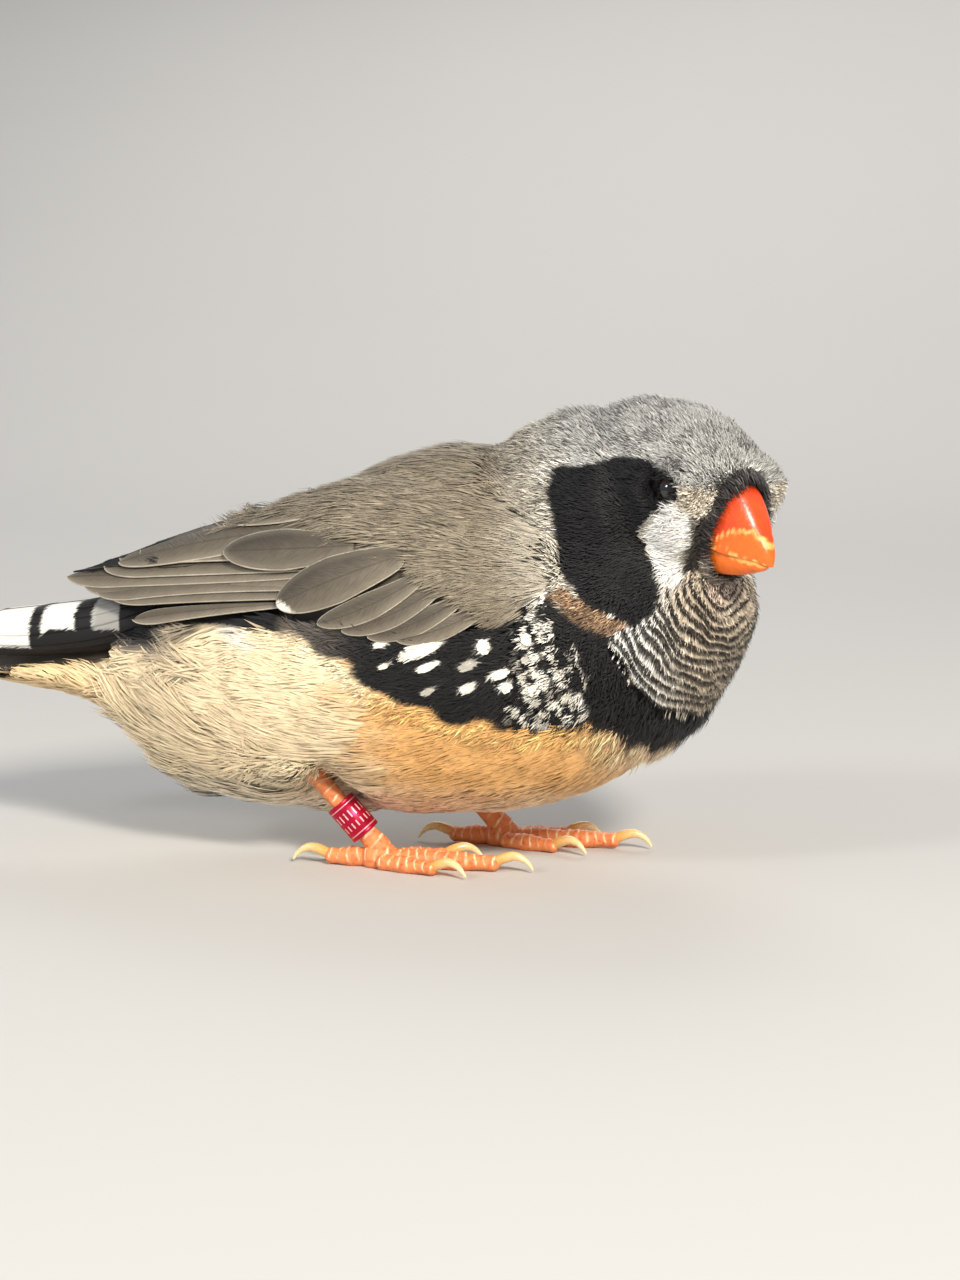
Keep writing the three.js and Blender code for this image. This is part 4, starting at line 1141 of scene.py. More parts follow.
def wing_vane(side, base, tip, half, sag, lifts, tilt, widest, tint, white_tip=0.0):
    """One vane on a wing's wall. base and tip are ahead and up in the side view, half its half width there,
    sag how far its middle hangs below the straight line, lifts how far out its root and its tip lie, tilt how
    much further out its lower edge is, and white_tip the length of a white end."""
    base, tip = np.array(base, float), np.array(tip, float)
    length = np.linalg.norm(tip - base)
    down = np.array((base[1] - tip[1], tip[0] - base[0])) / length
    down = down if down[1] < 0 else -down
    width = half * oval(slab_s, widest)
    line = base + np.outer(slab_s, tip - base) + np.outer(4 * slab_s * (1 - slab_s) * sag, down)
    spot = line + np.outer(slab_v * width, down)
    lift = lifts[0] + (lifts[1] - lifts[0]) * slab_s + tilt * slab_v + 0.1 * (1 - slab_v ** 2)
    lift += SHAFT_RISE * (np.abs(slab_v) < 0.05) - slab_d * VANE_THICKNESS
    share = wing_share(spot[:, 0], spot[:, 1])
    drawn_in = -TOP_EDGE - TOP_EDGE_REACH * np.tanh((-TOP_EDGE - share) / TOP_EDGE_REACH)
    share = np.where(share < -TOP_EDGE, drawn_in, share)
    corners = wing_wall(spot[:, 0], share, lift) * (1, side, 1)
    # Darker towards the upper edge, a painted shadow of the vane lying above it, and darker towards the tip.
    shade = np.clip(0.35 + 0.35 * slab_s - 0.45 * slab_v, 0, 1)[:, None]
    colours = (VANE_BROWN + (VANE_SHADE - VANE_BROWN) * shade) * tint
    if white_tip:
        near_tip = ease(slab_s + 0.06 * slab_v, 1 - white_tip / length, 1 - 0.6 * white_tip / length)
        colours = paint(colours, near_tip, VENT_WHITE)
    return corners, width, length, colours


# Lower edges of the long feathers of the wing in the side view, from the lowest: base, tip and width
PRIMARIES = [((-18.8, 31.4), (-40.6, 28.7), 1.0), ((-17.8, 32.4), (-43.5, 30.5), 1.2),
             ((-17.2, 33.2), (-45.2, 31.2), 1.3), ((-16.4, 34.0), (-47.4, 31.9), 1.3),
             ((-15.8, 34.8), (-50.2, 32.4), 1.3)]
SECONDARIES = [((-15.2, 35.6), (-45.6, 34.0), 1.3), ((-14.2, 36.4), (-43.8, 34.9), 1.3),
               ((-14.0, 37.2), (-41.0, 35.9), 1.3)]
# Tertials and greater coverts: base, tip, half width, sag, and how far out they lie
TERTIALS = [((-12.0, 43.6), (-30.5, 40.7), 2.0, -0.6, (-0.9, -0.35)),
            ((-16.0, 40.6), (-43.0, 35.0), 1.9, -0.7, (-0.95, -0.1)),
            ((-11.2, 38.8), (-28.1, 36.9), 2.35, 0.0, (-0.75, 0.15))]
GREATER_COVERTS = [((4.5, 32.4), (-5.7, 28.2), 1.3, 0.5), ((1.8, 33.4), (-9.1, 28.4), 1.4, 0.6),
                   ((-0.6, 34.6), (-12.2, 28.9), 1.5, 0.6), ((-2.6, 35.8), (-15.2, 29.5), 1.6, 0.6),
                   ((-5.2, 37.8), (-20.4, 31.3), 2.75, -0.3)]
for side, label in ((1, "right"), (-1, "left")):
    wing_dice = np.random.default_rng(200 + side)
    tints = wing_dice.uniform(0.8, 1.15, 40)
    vanes = []
    for i, (base, tip, width) in enumerate(PRIMARIES + SECONDARIES):
        up = np.array((0, width * 0.9))
        strayed = wing_dice.normal(size=4) * (0.3, 0.22, 0.2, 0.08)
        end = tip + up * 0.6 + strayed[:2]
        vanes.append(wing_vane(side, base + up, end, width * 1.15, -0.35 + strayed[2],
                               (-1.25, -0.75 + 0.03 * i), 0.26 + strayed[3], 0.82, tints[i]))
    for i, (base, tip, half, sag, lifts) in enumerate(TERTIALS):
        vanes.append(wing_vane(side, base, tip, half, sag, lifts, 0.14, 0.5, tints[10 + i]))
    for i, (base, tip, half, sag) in enumerate(GREATER_COVERTS):
        vanes.append(wing_vane(side, base, tip, half, sag, (-0.75 + 0.06 * i, -0.15 + 0.1 * i), 0.16, 0.5,
                               tints[20 + i] * 1.05, 1.0 if i == 4 else 0.0))
    join_vanes(f"vanes_{label}", vanes, vane_material, [f"wing_{label}_primaries"])

# Tail
# Twelve stiff dark feathers with thin pale edges, folded into a narrow stack with the middle pair on top.
# TAIL_TOP holds x and the height of the stack's top.
TAIL_TOP = [(-36, 30.4), (-44, 29.4), (-52, 28.3), (-60, 27.2), (-68, 26.0), (-75, 24.9)]
TAIL_BLACK = linear(44, 42, 42)


def flat_vane(root, tip, half, roll, widest, colour):
    """A vane between two points of the bird, its blade turned from level by roll in radians."""
    root, tip = np.array(root, float), np.array(tip, float)
    way = unit(tip - root)
    across = unit(np.cross((0, 0, 1), way))
    up = np.cross(way, across)
    blade = across * math.cos(roll) + up * math.sin(roll)
    face = np.cross(way, blade)
    width = half * oval(slab_s, widest, 3.0)
    camber = 0.25 * (1 - slab_v ** 2) - slab_d * VANE_THICKNESS
    corners = root + np.outer(slab_s, tip - root) + np.outer(slab_v * width, blade) + np.outer(camber, face)
    return corners, width, np.linalg.norm(tip - root), np.tile(colour, (len(slab_s), 1))


tail_vanes = []
tail_dice = np.random.default_rng(211)
top_root, top_tip = (table_at(TAIL_TOP, np.array(x))[1] for x in (-37.0, -74.5))
for pair in range(6):
    for side in (-1, 1):
        root = (-36.5, side * (0.6 + 0.42 * pair), top_root - 0.4 - 0.9 * pair)
        tip = (-74.6 + 0.5 * pair, side * (1.0 + 0.5 * pair), top_tip - 0.3 - 0.58 * pair + 0.08 * side)
        shade = TAIL_BLACK * tail_dice.uniform(0.85, 1.15)
        tail_vanes.append(flat_vane(root, tip, 2.5, -side * math.radians(6 + 10 * pair), 0.88, shade))
join_vanes("tail_vanes", tail_vanes, vane_material, ["tail"])

# Long coverts over the tail
# Soft black feathers with broad square white patches, lying in rows over both sides of the tail. Each section
# is x, top, bottom and half width, and each row its angle from the top in degrees, and its x at root and tip.
COVER_SECTIONS = [(-38.5, 33.0, 24.6, 5.0), (-45, 30.8, 23.2, 5.2), (-53, 29.4, 22.6, 5.3),
                  (-60, 28.4, 22.5, 5.4), (-66, 27.2, 22.6, 5.5)]
COVER_ROWS = ((142, -38, -60), (122, -37.5, -61.5), (102, -37, -62), (84, -36, -62.5), (62, -36, -64),
              (40, -35, -65), (16, -35, -65.8))
COVER_HALF = 2.2
PATCH_SPACING = 5.7
FIRST_PATCH = 42.8

cover_material, cover_shader, cover_place = new_material("patched tail coverts")
cover_streaks, _ = barb_streaks(cover_place)
cover_parts = cover_place.node("ShaderNodeSeparateXYZ", 0, None, Vector=cover_place)
bird_x = cover_parts * -1000.0 + BODY_X
step = (bird_x + cover_streaks * 1.9 - (FIRST_PATCH + 0.95)) * (1 / PATCH_SPACING)
within = step.math("FRACT")
patch_end = within - (bird_x - FIRST_PATCH) * 0.02
square = within.ramp(0.0, 0.05) * (1 - patch_end.ramp(0.53, 0.58))
square = square * bird_x.ramp(FIRST_PATCH, FIRST_PATCH + 0.3)
cover_height = Socket(cover_place.tree, cover_parts.link.node.outputs[2]) * 1000.0
cover_side = (Socket(cover_place.tree, cover_parts.link.node.outputs[1]) * 1000.0).math("ABSOLUTE")
patch_low = 26.9 - bird_x.ramp(51.5, 54.5) * 2.4
patch_side = (cover_height + cover_streaks * 1.6 - patch_low).ramp(0.6, 0.9) * cover_side.ramp(0.5, 0.8)
whiteness = square * patch_side * (bird_x.ramp(45.6, 48.0) * 0.56 + 0.34)
cover_body = (cover_streaks * 0.8 + 0.6).times_colour(cover_place.attribute("plumage"))
plug(cover_shader, "Base Color", whiteness.mix(cover_body, (*linear(246, 243, 236), 1)))
plug(cover_shader, "Roughness", cover_streaks * 0.25 + 0.45)
bump(cover_shader, cover_streaks, 0.06)
cover_shader.inputs["Specular IOR Level"].default_value = 0.3


def cover_vane(angle, root_x, tip_x, half, lifts, flip):
    """A vane along the tail's upper coverts. angle is how far round from the top it lies, in degrees."""
    width = half * oval(slab_s, 0.6)
    x = root_x + (tip_x - root_x) * slab_s
    _, top, bottom, half_width = np.moveaxis(table_at(COVER_SECTIONS, x), -1, 0)
    round_way = math.radians(angle) + flip * slab_v * width / 4.6
    lift = lifts[0] + (lifts[1] - lifts[0]) * slab_s + 0.12 * slab_v + 0.1 * (1 - slab_v ** 2)
    lift = lift - slab_d * VANE_THICKNESS
    aside, over = np.sin(round_way), np.cos(round_way)
    y = -(half_width + lift) * np.sign(aside) * np.abs(aside) ** 0.7
    z = (top + bottom) / 2 + ((top - bottom) / 2 + lift) * np.sign(over) * np.abs(over) ** 0.9
    return np.stack((x, y, z), 1), width, abs(tip_x - root_x), np.tile(BAND_BLACK, (len(slab_s), 1))


cover_vanes = []
for i, (angle, root_x, tip_x) in enumerate(COVER_ROWS):
    for flip in (1, -1):
        lifts = (-0.7 + 0.06 * i, -0.5 + 0.09 * i)
        cover_vanes.append(cover_vane(angle * flip, root_x, tip_x, COVER_HALF, lifts, flip))
join_vanes("tail_covers", cover_vanes, cover_material, ["uppertail_coverts"])

# Eyes
# A dark glossy eyeball with a round black pupil in a deep red-brown ring, set behind the lids. Its middle
# swells into the cornea.
PUPIL_RADIUS = 0.95
PUPIL_EDGE = 0.06
PUPIL_BLACK = (0.003, 0.003, 0.003, 1)
CORNEA_RISE = 0.09

eye_material, eye_shader, eye_place = new_material("eye")
off_axis = eye_place.attribute("off_axis", 2)
iris_grain = eye_place.noise(2600.0)
iris = iris_grain.mix((*linear(30, 12, 8), 1), (*linear(54, 24, 14), 1))
iris = off_axis.ramp(1.25, 1.6).mix(iris, (*linear(14, 10, 9), 1))
round_pupil = off_axis.ramp(PUPIL_RADIUS - PUPIL_EDGE, PUPIL_RADIUS + PUPIL_EDGE)
plug(eye_shader, "Base Color", round_pupil.mix(PUPIL_BLACK, iris))
eye_shader.inputs["Roughness"].default_value = 0.06
eye_shader.inputs["Coat Weight"].default_value = 1.0
eye_shader.inputs["Coat Roughness"].default_value = 0.02
for side, label in ((1, "right"), (-1, "left")):
    ball = bmesh.new()
    bmesh.ops.create_uvsphere(ball, u_segments=40, v_segments=28, radius=EYE_RADIUS)
    for corner in ball.verts:
        swell = 1 + CORNEA_RISE * max(corner.co.z / EYE_RADIUS, 0) ** 6
        corner.co = Vector((corner.co.x, corner.co.y, corner.co.z * side)) * swell
    bmesh.ops.recalc_face_normals(ball, faces=ball.faces[:])
    eye_mesh = bpy.data.meshes.new(f"eyeball_{label}")
    ball.to_mesh(eye_mesh)
    ball.free()
    local = np.zeros(len(eye_mesh.vertices) * 3)
    eye_mesh.vertices.foreach_get("co", local)
    local = local.reshape(-1, 3)
    in_place = local[:, [0, 2, 1]] + (EYE_PLACE[0], side * EYE_PLACE[1], EYE_PLACE[2])
    eye_mesh.vertices.foreach_set("co", to_frame(from_head(in_place)).ravel())
    away = eye_mesh.attributes.new("off_axis", "FLOAT", "POINT")
    away.data.foreach_set("value", np.where(local[:, 2] * side > 0, np.hypot(local[:, 0], local[:, 1]), 3.0))
    eye_mesh.shade_smooth()
    turned_out = bmesh.new()
    turned_out.from_mesh(eye_mesh)
    bmesh.ops.recalc_face_normals(turned_out, faces=turned_out.faces[:])
    turned_out.to_mesh(eye_mesh)
    turned_out.free()
    eye_mesh.materials.append(eye_material)
    eye = new_piece(f"eyeball_{label}", eye_mesh)
    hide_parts(f"eye_{label}")
    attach(eye, "root")

# Bill
# Two waxy horn sheaths, the lower one orange, the upper one red-orange and worn back to a lighter layer along
# its cutting edge, with a pale broken rim. Each section is ahead, half width, top and bottom.
UPPER_BILL = [(7.6, 3.6, 4.6, -2.4), (9.9, 3.5, 4.2, -2.7), (11.4, 3.2, 3.5, -2.8), (13.0, 2.7, 2.1, -2.6),
              (14.4, 1.9, 0.4, -2.5), (15.6, 1.1, -1.0, -2.6), (16.5, 0.4, -2.2, -3.0)]
LOWER_BILL = [(7.6, 3.1, -2.9, -6.2), (10.0, 3.1, -3.2, -6.3), (11.6, 2.8, -3.2, -5.9),
              (13.0, 2.3, -3.0, -5.3), (14.4, 1.6, -2.9, -4.5), (15.8, 0.8, -3.2, -3.8)]
# Worn edge of the upper sheath's outer layer and the cutting edges of the two sheaths, ahead and up
WORN_EDGE = [(8.5, -2.7), (9.6, -2.4), (10.9, -1.4), (12.1, -0.3), (13.7, 0.4), (15.3, -0.9), (16.2, -1.7),
             (17.2, -2.9)]
UPPER_CUTTING_EDGE = [(8.5, -2.9), (13.0, -2.85), (17.2, -3.4)]
LOWER_CUTTING_EDGE = [(8.5, -3.1), (11.6, -3.3), (13.0, -3.1), (15.8, -3.4)]
OUTER_LAYER = 0.07
BILL_ROWS = 72
BILL_COLUMNS = 64


def rounded(t, length, start, end):
    """Share of the full radius where a round-ended tube closes near its ends."""
    near, far = np.clip(t / start, 0, 1), np.clip((length - t) / end, 0, 1)
    return np.sqrt(np.maximum(near * (2 - near) * far * (2 - far), 0))


def wrapped(rows, columns, place):
    """A closed tube from a grid: place takes shares along and angles round, and gives millimetres."""
    shape = bmesh.new()
    bmesh.ops.create_grid(shape, x_segments=rows, y_segments=columns, size=1.0)
    flat = np.array([corner.co for corner in shape.verts])
    along, angle = 0.5 + flat[:, 0] / 2, np.pi * flat[:, 1]
    angle[flat[:, 1] > 0.9999] = -np.pi
    for corner, spot in zip(shape.verts, to_frame(place(along, angle))):
        corner.co = spot
    bmesh.ops.remove_doubles(shape, verts=shape.verts[:], dist=2e-6)
    bmesh.ops.dissolve_degenerate(shape, dist=1e-6, edges=shape.edges[:])
    bmesh.ops.recalc_face_normals(shape, faces=shape.faces[:])
    return shape


def finished(name, shape, material, replaced):
    """Makes a piece of one bmesh, or of several joined."""
    mesh = bpy.data.meshes.new(name)
    shape.to_mesh(mesh)
    shape.free()
    mesh.shade_smooth()
    mesh.materials.append(material)
    piece = new_piece(name, mesh)
    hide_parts(*replaced)
    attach(piece, "root")
    return piece


def worn_wave(a, b):
    """How far the worn edge strays up or down."""
    return 0.16 * np.sin(a * 2.1 + b * 0.9) + 0.09 * np.sin(a * 5.7 - b * 1.3)


def bill_half(rows, arch, drop):
    """An arch over a cutting edge, its outer layer a little proud above the worn edge of the upper sheath."""
    start, end = rows[0][0], rows[-1][0]

    def place(along, angle):
        a = start + (end - start) * (1 - (1 - along) ** 1.25)
        _, half_width, upper, lower = np.moveaxis(table_at(rows, a), -1, 0)
        narrowing = 1 - 0.07 * ease(a, 9.5, 13.5)
        half_width, upper = half_width * narrowing, upper - (upper + 2.5) * (1 - narrowing)
        edge, crest = (lower - drop, upper) if arch > 0 else (upper, lower)
        size = rounded(a - start, end - start, 0.5, 1.0)
        rise = np.sin(angle)
        height = np.where(rise > 0, np.abs(rise) ** 1.05, 0.12 * rise)
        b = half_width * size * np.sign(np.cos(angle)) * np.abs(np.cos(angle)) ** 0.7
        c = edge + (crest - edge) * (0.35 * (1 - size) + size * height)
        head = np.stack((a, b, c), 1)
        if arch > 0:
            above = c - np.interp(a, *zip(*WORN_EDGE)) - worn_wave(a, b)
            head[:, 1] += np.sign(b) * OUTER_LAYER * ease(above, -0.05, 0.12) * (np.abs(b) > 0.2)
            head[:, 2] += 0.05 * ease(above, -0.05, 0.12) * (rise > 0)
        return from_head(head)

    return wrapped(BILL_ROWS, BILL_COLUMNS, place)


def horn(name, main, light, deep, rim):
    """Waxy horn: colour runs from deep at the root to light ahead, with fine growth lines along it."""
    material, shader, place = new_material(name)
    a = place.attribute("ahead", 2)
    worn = place.attribute("worn", 2)
    rim_share = place.attribute("rim", 2)
    cloud = place.noise(420.0, 3.0)
    fine = place.noise(2400.0, 3.0)
    tone = a.ramp(8.5, 12.5).mix((*deep, 1), (*main, 1))
    tone = ((cloud - 0.5) * 1.2).mix(tone, (*light, 1))
    tone = (worn * 0.85).mix(tone, (*light, 1))
    pale = (rim_share * (fine * 1.2 + 0.35)).math("MINIMUM", 1.0)
    tone = pale.mix(tone, (*rim, 1))
    plug(shader, "Base Color", (fine * 0.35 + 0.83).times_colour(tone))
    plug(shader, "Roughness", fine * 0.25 + 0.22 + pale * 0.25)
    bump(shader, fine + cloud, 0.05)
    shader.inputs["Coat Weight"].default_value = 0.3
    shader.inputs["Coat Roughness"].default_value = 0.2
    return material


def mark_bill(piece, lines):
    """Stores how far ahead each corner is, whether it is on the worn layer, and how near to a pale rim. lines
    are the rims, each with its half width."""
    places, _, _ = mesh_arrays(piece.data)
    head = in_head(places)
    a, c = head[:, 0], head[:, 2]
    wave = worn_wave(a, head[:, 1])
    worn = 1 - ease(c - np.interp(a, *zip(*WORN_EDGE)) - wave, -0.2, 0.1)
    rim = np.zeros(len(a))
    for line, half in lines:
        rim = np.maximum(rim, 1 - ease(np.abs(c - np.interp(a, *zip(*line)) - wave), half * 0.4, half))
    for name, values in (("ahead", a), ("worn", worn), ("rim", rim * ease(a, 8.6, 10.2))):
        piece.data.attributes.new(name, "FLOAT", "POINT").data.foreach_set("value", values)


red_horn = horn("red horn", main=linear(226, 72, 22), light=linear(240, 106, 24), deep=linear(200, 54, 22),
                rim=linear(255, 186, 100))
orange_horn = horn("orange horn", main=linear(236, 98, 18), light=linear(244, 116, 26),
                   deep=linear(220, 78, 18), rim=linear(255, 180, 96))
bill_top = finished("bill_top", bill_half(UPPER_BILL, 1, 0.25), red_horn, ["bill_upper"])
mark_bill(bill_top, [(WORN_EDGE, 0.3), (UPPER_CUTTING_EDGE, 0.25)])
bill_base = finished("bill_base", bill_half(LOWER_BILL, -1, 0.0), orange_horn, ["bill_lower"])
mark_bill(bill_base, [(LOWER_CUTTING_EDGE, 0.36)])

# Feathers round the bill
# A ruff of short dark bristly feathers over the root of the bill, with a few light flecks and pale under the
# chin. Each bristle starts on the skin and bends forward onto the horn.
RUFF_BARBS = 2600
RUFF_BARB_WIDTH = 0.15
RUFF_FLECKED = 0.12
RUFF_DARK = linear(46, 43, 42)
ruff_dice = np.random.default_rng(171)


def round_bill(a, angle, off):
    """Places round the closed bill, a millimetres ahead, at an angle from its right side, off its surface."""
    _, half_width, upper, _ = np.moveaxis(table_at(UPPER_BILL, a), -1, 0)
    lower = table_at(LOWER_BILL, a)[:, 3]
    b = (half_width + off) * np.cos(angle)
    return from_head(np.stack((a, b, (upper + lower) / 2 + ((upper - lower) / 2 + off) * np.sin(angle)), 1))


ruff_angle = ruff_dice.uniform(0, 2 * math.pi, RUFF_BARBS)
ruff_root = 7.9 + 1.5 * ruff_dice.random(RUFF_BARBS)
ruff_off = ruff_dice.uniform(0.25, 1.5, RUFF_BARBS)
ruff_reach = ruff_dice.uniform(1.1, 1.7, RUFF_BARBS) + 0.5 * np.sin(ruff_angle).clip(0)
ruff_turn = ruff_dice.normal(size=RUFF_BARBS) * 0.1
ruff_start = on_skin(round_bill(ruff_root, ruff_angle, ruff_off + 0.4))[0]
ruff_middle = round_bill(ruff_root + ruff_reach * 0.55, ruff_angle + ruff_turn * 0.5, ruff_off * 0.8 + 0.35)
ruff_tip = round_bill(ruff_root + ruff_reach, ruff_angle + ruff_turn, ruff_off * 0.85 + 0.1)
ruff_out = unit(round_bill(ruff_root, ruff_angle, ruff_off + 1) - round_bill(ruff_root, ruff_angle, ruff_off))
ruff_light = np.exp(ruff_dice.normal(size=(RUFF_BARBS, 1)) * 0.5)
ruff_light = ruff_light * np.where(ruff_dice.random((RUFF_BARBS, 1)) < RUFF_FLECKED, 4, 1)
ruff_colour = np.tile(RUFF_DARK, (RUFF_BARBS, 1))
ruff_colour = paint(ruff_colour, ease(-np.sin(ruff_angle), 0.35, 0.75), CHIN_PALE * 0.6) * ruff_light
# Roots are darkened as painted shade between the bristles, and tips lightened.
grow("coat_ruff", [ruff_start, ruff_middle, ruff_tip], [ruff_out] * 3, np.full(RUFF_BARBS, RUFF_BARB_WIDTH),
     [ruff_colour * 0.6, ruff_colour, np.minimum(ruff_colour * 1.5, 1)])

# Legs
# Thin bare legs and flat toes in orange scales with pale raised edges, over soft pads. Each leg and foot are
# one piece. FEET gives a foot's place, the way its leg leans and its side, and TOES a toe's name, the degrees
# it points outwards, its length and its radius.
FEET = {"right": ((-10.7, -6.6, 0), (-0.66, -0.06, 0.75), -1),
        "left": ((0.8, 9.0, 0), (-0.72, -0.06, 0.69), 1)}
FOOT_JOINT_HEIGHT = 2.3
TARSUS_RADIUS = 1.05
TARSUS_KNOB = 1.45
TOES = [("toe_inner", -19, 8.2, 1.0), ("toe_middle", 1, 14.6, 1.15), ("toe_outer", 19, 8.4, 1.0),
        ("toe_hind", 180, 6.6, 1.15)]
SOLE_SINK = 0.12
SIDE_TOE_ROOT = 1.45
SCALE_STEP = 1.15

leg_material, leg_shader, leg_place = new_material("scaly leg skin")
scale_edge = leg_place.attribute("scale_edge", 2)
grit = leg_place.noise(1500.0, 4.0)
blush = leg_place.noise(260.0, 2.0)
skin_tone = blush.mix((*linear(224, 118, 62), 1), (*linear(236, 152, 92), 1))
skin_tone = ((grit - 0.52) * 4.0).mix(skin_tone, (*linear(196, 80, 46), 1))
pale_scale = (scale_edge * (grit * 1.1 + 0.4)).math("MINIMUM", 1.0)
plug(leg_shader, "Base Color", pale_scale.mix(skin_tone, (*linear(250, 226, 184), 1)))
plug(leg_shader, "Roughness", grit * 0.3 + 0.36)
bump(leg_shader, grit, 0.1)


def limb(path, radii, rows, columns, scales=0.0, ends=(1.0, 1.0), floor_at=None):
    """A closed round limb along points with a radius at each. scales is the share by which scales swell it,
    ends how long its two round ends are against their radii, and floor_at the height that it doesn't pass."""
    path, radii = np.array(path, float), np.array(radii, float)
    steps = np.linalg.norm(np.diff(path, axis=0), axis=1)
    at = np.concatenate(([0], np.cumsum(steps)))
    length = at[-1]
    curve = np.column_stack((at, path, radii))

    def place(along, angle):
        t = along * length
        spot = table_at(curve, t)
        ahead, behind = table_at(curve, np.minimum(t + 0.1, length)), table_at(curve, np.maximum(t - 0.1, 0))
        forward = unit(ahead[:, 1:4] - behind[:, 1:4])
        side = unit(np.cross((0, 0, 1), forward))
        up = np.cross(forward, side)
        radius = spot[:, 4] * rounded(t, length, spot[0, 4] * ends[0], spot[-1, 4] * ends[1])
        phase = (t + 0.18 * np.sin(2 * angle + t)) / SCALE_STEP
        swell = (phase - np.floor(phase)) ** 2 * (0.55 + 0.45 * np.sin(angle))
        dimples = 0.4 * np.sin(9 * angle) * np.sin(t * 8)
        radius = radius * (1 + scales * (swell + 0.12 * dimples * (np.sin(angle) < 0)))
        out = side * np.cos(angle)[:, None] + up * np.sin(angle)[:, None]
        points = spot[:, 1:4] + out * radius[:, None]
        if floor_at is not None:
            points[:, 2] = np.maximum(points[:, 2], floor_at)
        return points

    return wrapped(rows, columns, place)


def scale_edges(points, path):
    """How near places on a limb are to the raised pale edge of a scale."""
    path = np.array(path, float)
    steps = np.linalg.norm(np.diff(path, axis=0), axis=1)
    at = np.concatenate(([0], np.cumsum(steps)))
    best, t, high = np.full(len(points), 1e9), np.zeros(len(points)), np.zeros(len(points))
    for i, step in enumerate(steps):
        way = (path[i + 1] - path[i]) / step
        run = np.clip((points - path[i]) @ way, 0, step)
        off = points - path[i] - np.outer(run, way)
        gap = np.linalg.norm(off, axis=1)
        nearer = gap < best
        best, t = np.where(nearer, gap, best), np.where(nearer, at[i] + run, t)
        high = np.where(nearer, off[:, 2] / np.maximum(gap, 0.01), high)
    angle = np.arcsin(np.clip(high, -1, 1))
    phase = (t + 0.18 * np.sin(2 * angle + t)) / SCALE_STEP
    worn = 0.35 + 0.65 * ease(drift(points, 0.9, 77), -0.5, 0.3)
    return ease(phase - np.floor(phase), 0.76, 0.92) * ease(high, -0.5, 0.1) * worn


def toe_start(foot, side, bearing, radius):
    """Where a toe leaves the foot, and the way that it points."""
    turn = math.radians(side * bearing)
    root = math.copysign(SIDE_TOE_ROOT, side * bearing) if 5 < abs(bearing) < 90 else 0
    way = np.array((math.cos(turn), math.sin(turn), 0))
    return np.array(foot, float) + (0, root, radius - SOLE_SINK), way


for label, (foot, lean, side) in FEET.items():
    foot = np.array(foot, float)
    lean = unit(np.array(lean, float))
    ankle = foot + (0, 0, FOOT_JOINT_HEIGHT)
    whole = bmesh.new()
    edges = []

    def add(shape, path):
        """Joins a limb to the leg and keeps the scale edges of its corners."""
        part = bpy.data.meshes.new("part")
        shape.to_mesh(part)
        shape.free()
        edges.append(scale_edges(mesh_arrays(part)[0], path))
        whole.from_mesh(part)
        bpy.data.meshes.remove(part)

    tarsus_path = [ankle + lean * s for s in (-1.4, 0.0, 1.7, 3.2, 7.5, 11.5, 14.0, 15.6, 17.0)]
    tarsus_radii = [1.2, TARSUS_KNOB, 1.2, TARSUS_RADIUS, TARSUS_RADIUS, TARSUS_RADIUS, 1.15, 1.42, 1.2]
    add(limb(tarsus_path, tarsus_radii, 110, 26, 0.07), tarsus_path)
    pad_path = [foot + (s, 0, 1.15) for s in (-2.2, -0.8, 0.8, 2.4)]
    add(limb(pad_path, [1.25, 1.75, 1.8, 1.3], 26, 26, 0.03, floor_at=0.0), pad_path)
    for name, bearing, length, radius in TOES:
        start, way = toe_start(foot, side, bearing, radius)
        joints = 3 if name == "toe_middle" else 2
        shares = np.linspace(0.02, 1, 13)
        swell = 1 + 0.09 * np.cos(2 * np.pi * shares * joints)
        path = [start + way * length * s for s in shares]
        radii = radius * np.interp(shares, (0.06, 0.4, 0.7, 1), (1, 0.98, 0.88, 0.74)) * swell
        add(limb(path, radii, int(length * 6.5), 24, 0.13, floor_at=0.0), path)
    leg_mesh = bpy.data.meshes.new(f"leg_{label}")
    whole.to_mesh(leg_mesh)
    whole.free()
    leg_mesh.attributes.new("scale_edge", "FLOAT", "POINT").data.foreach_set("value", np.concatenate(edges))
    leg_mesh.shade_smooth()
    leg_mesh.materials.append(leg_material)
    leg = new_piece(f"leg_{label}", leg_mesh)
    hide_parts(f"tarsus_{label}", *(f"{name}_{label}" for name, _, _, _ in TOES))
    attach(leg, "root")

# Claws
# Smooth curved claws of pale horn, yellower at the root and palest at the tip, grown out of the toes' ends. A
# foot's claws are one piece. CLAW_BEND is how far out and up a claw's line passes, as shares.
CLAW_REACH = 3.9
CLAW_RISE = 1.5
CLAW_RADIUS = 0.62
CLAW_TIP_HEIGHT = 0.3
CLAW_BEND = ((-0.2, 0.05), (0.1, 0.42), (0.4, 0.62), (0.66, 0.45), (0.86, 0.05))
CLAW_TAPER = (0.95, 1.0, 0.86, 0.66, 0.42, 0.16)

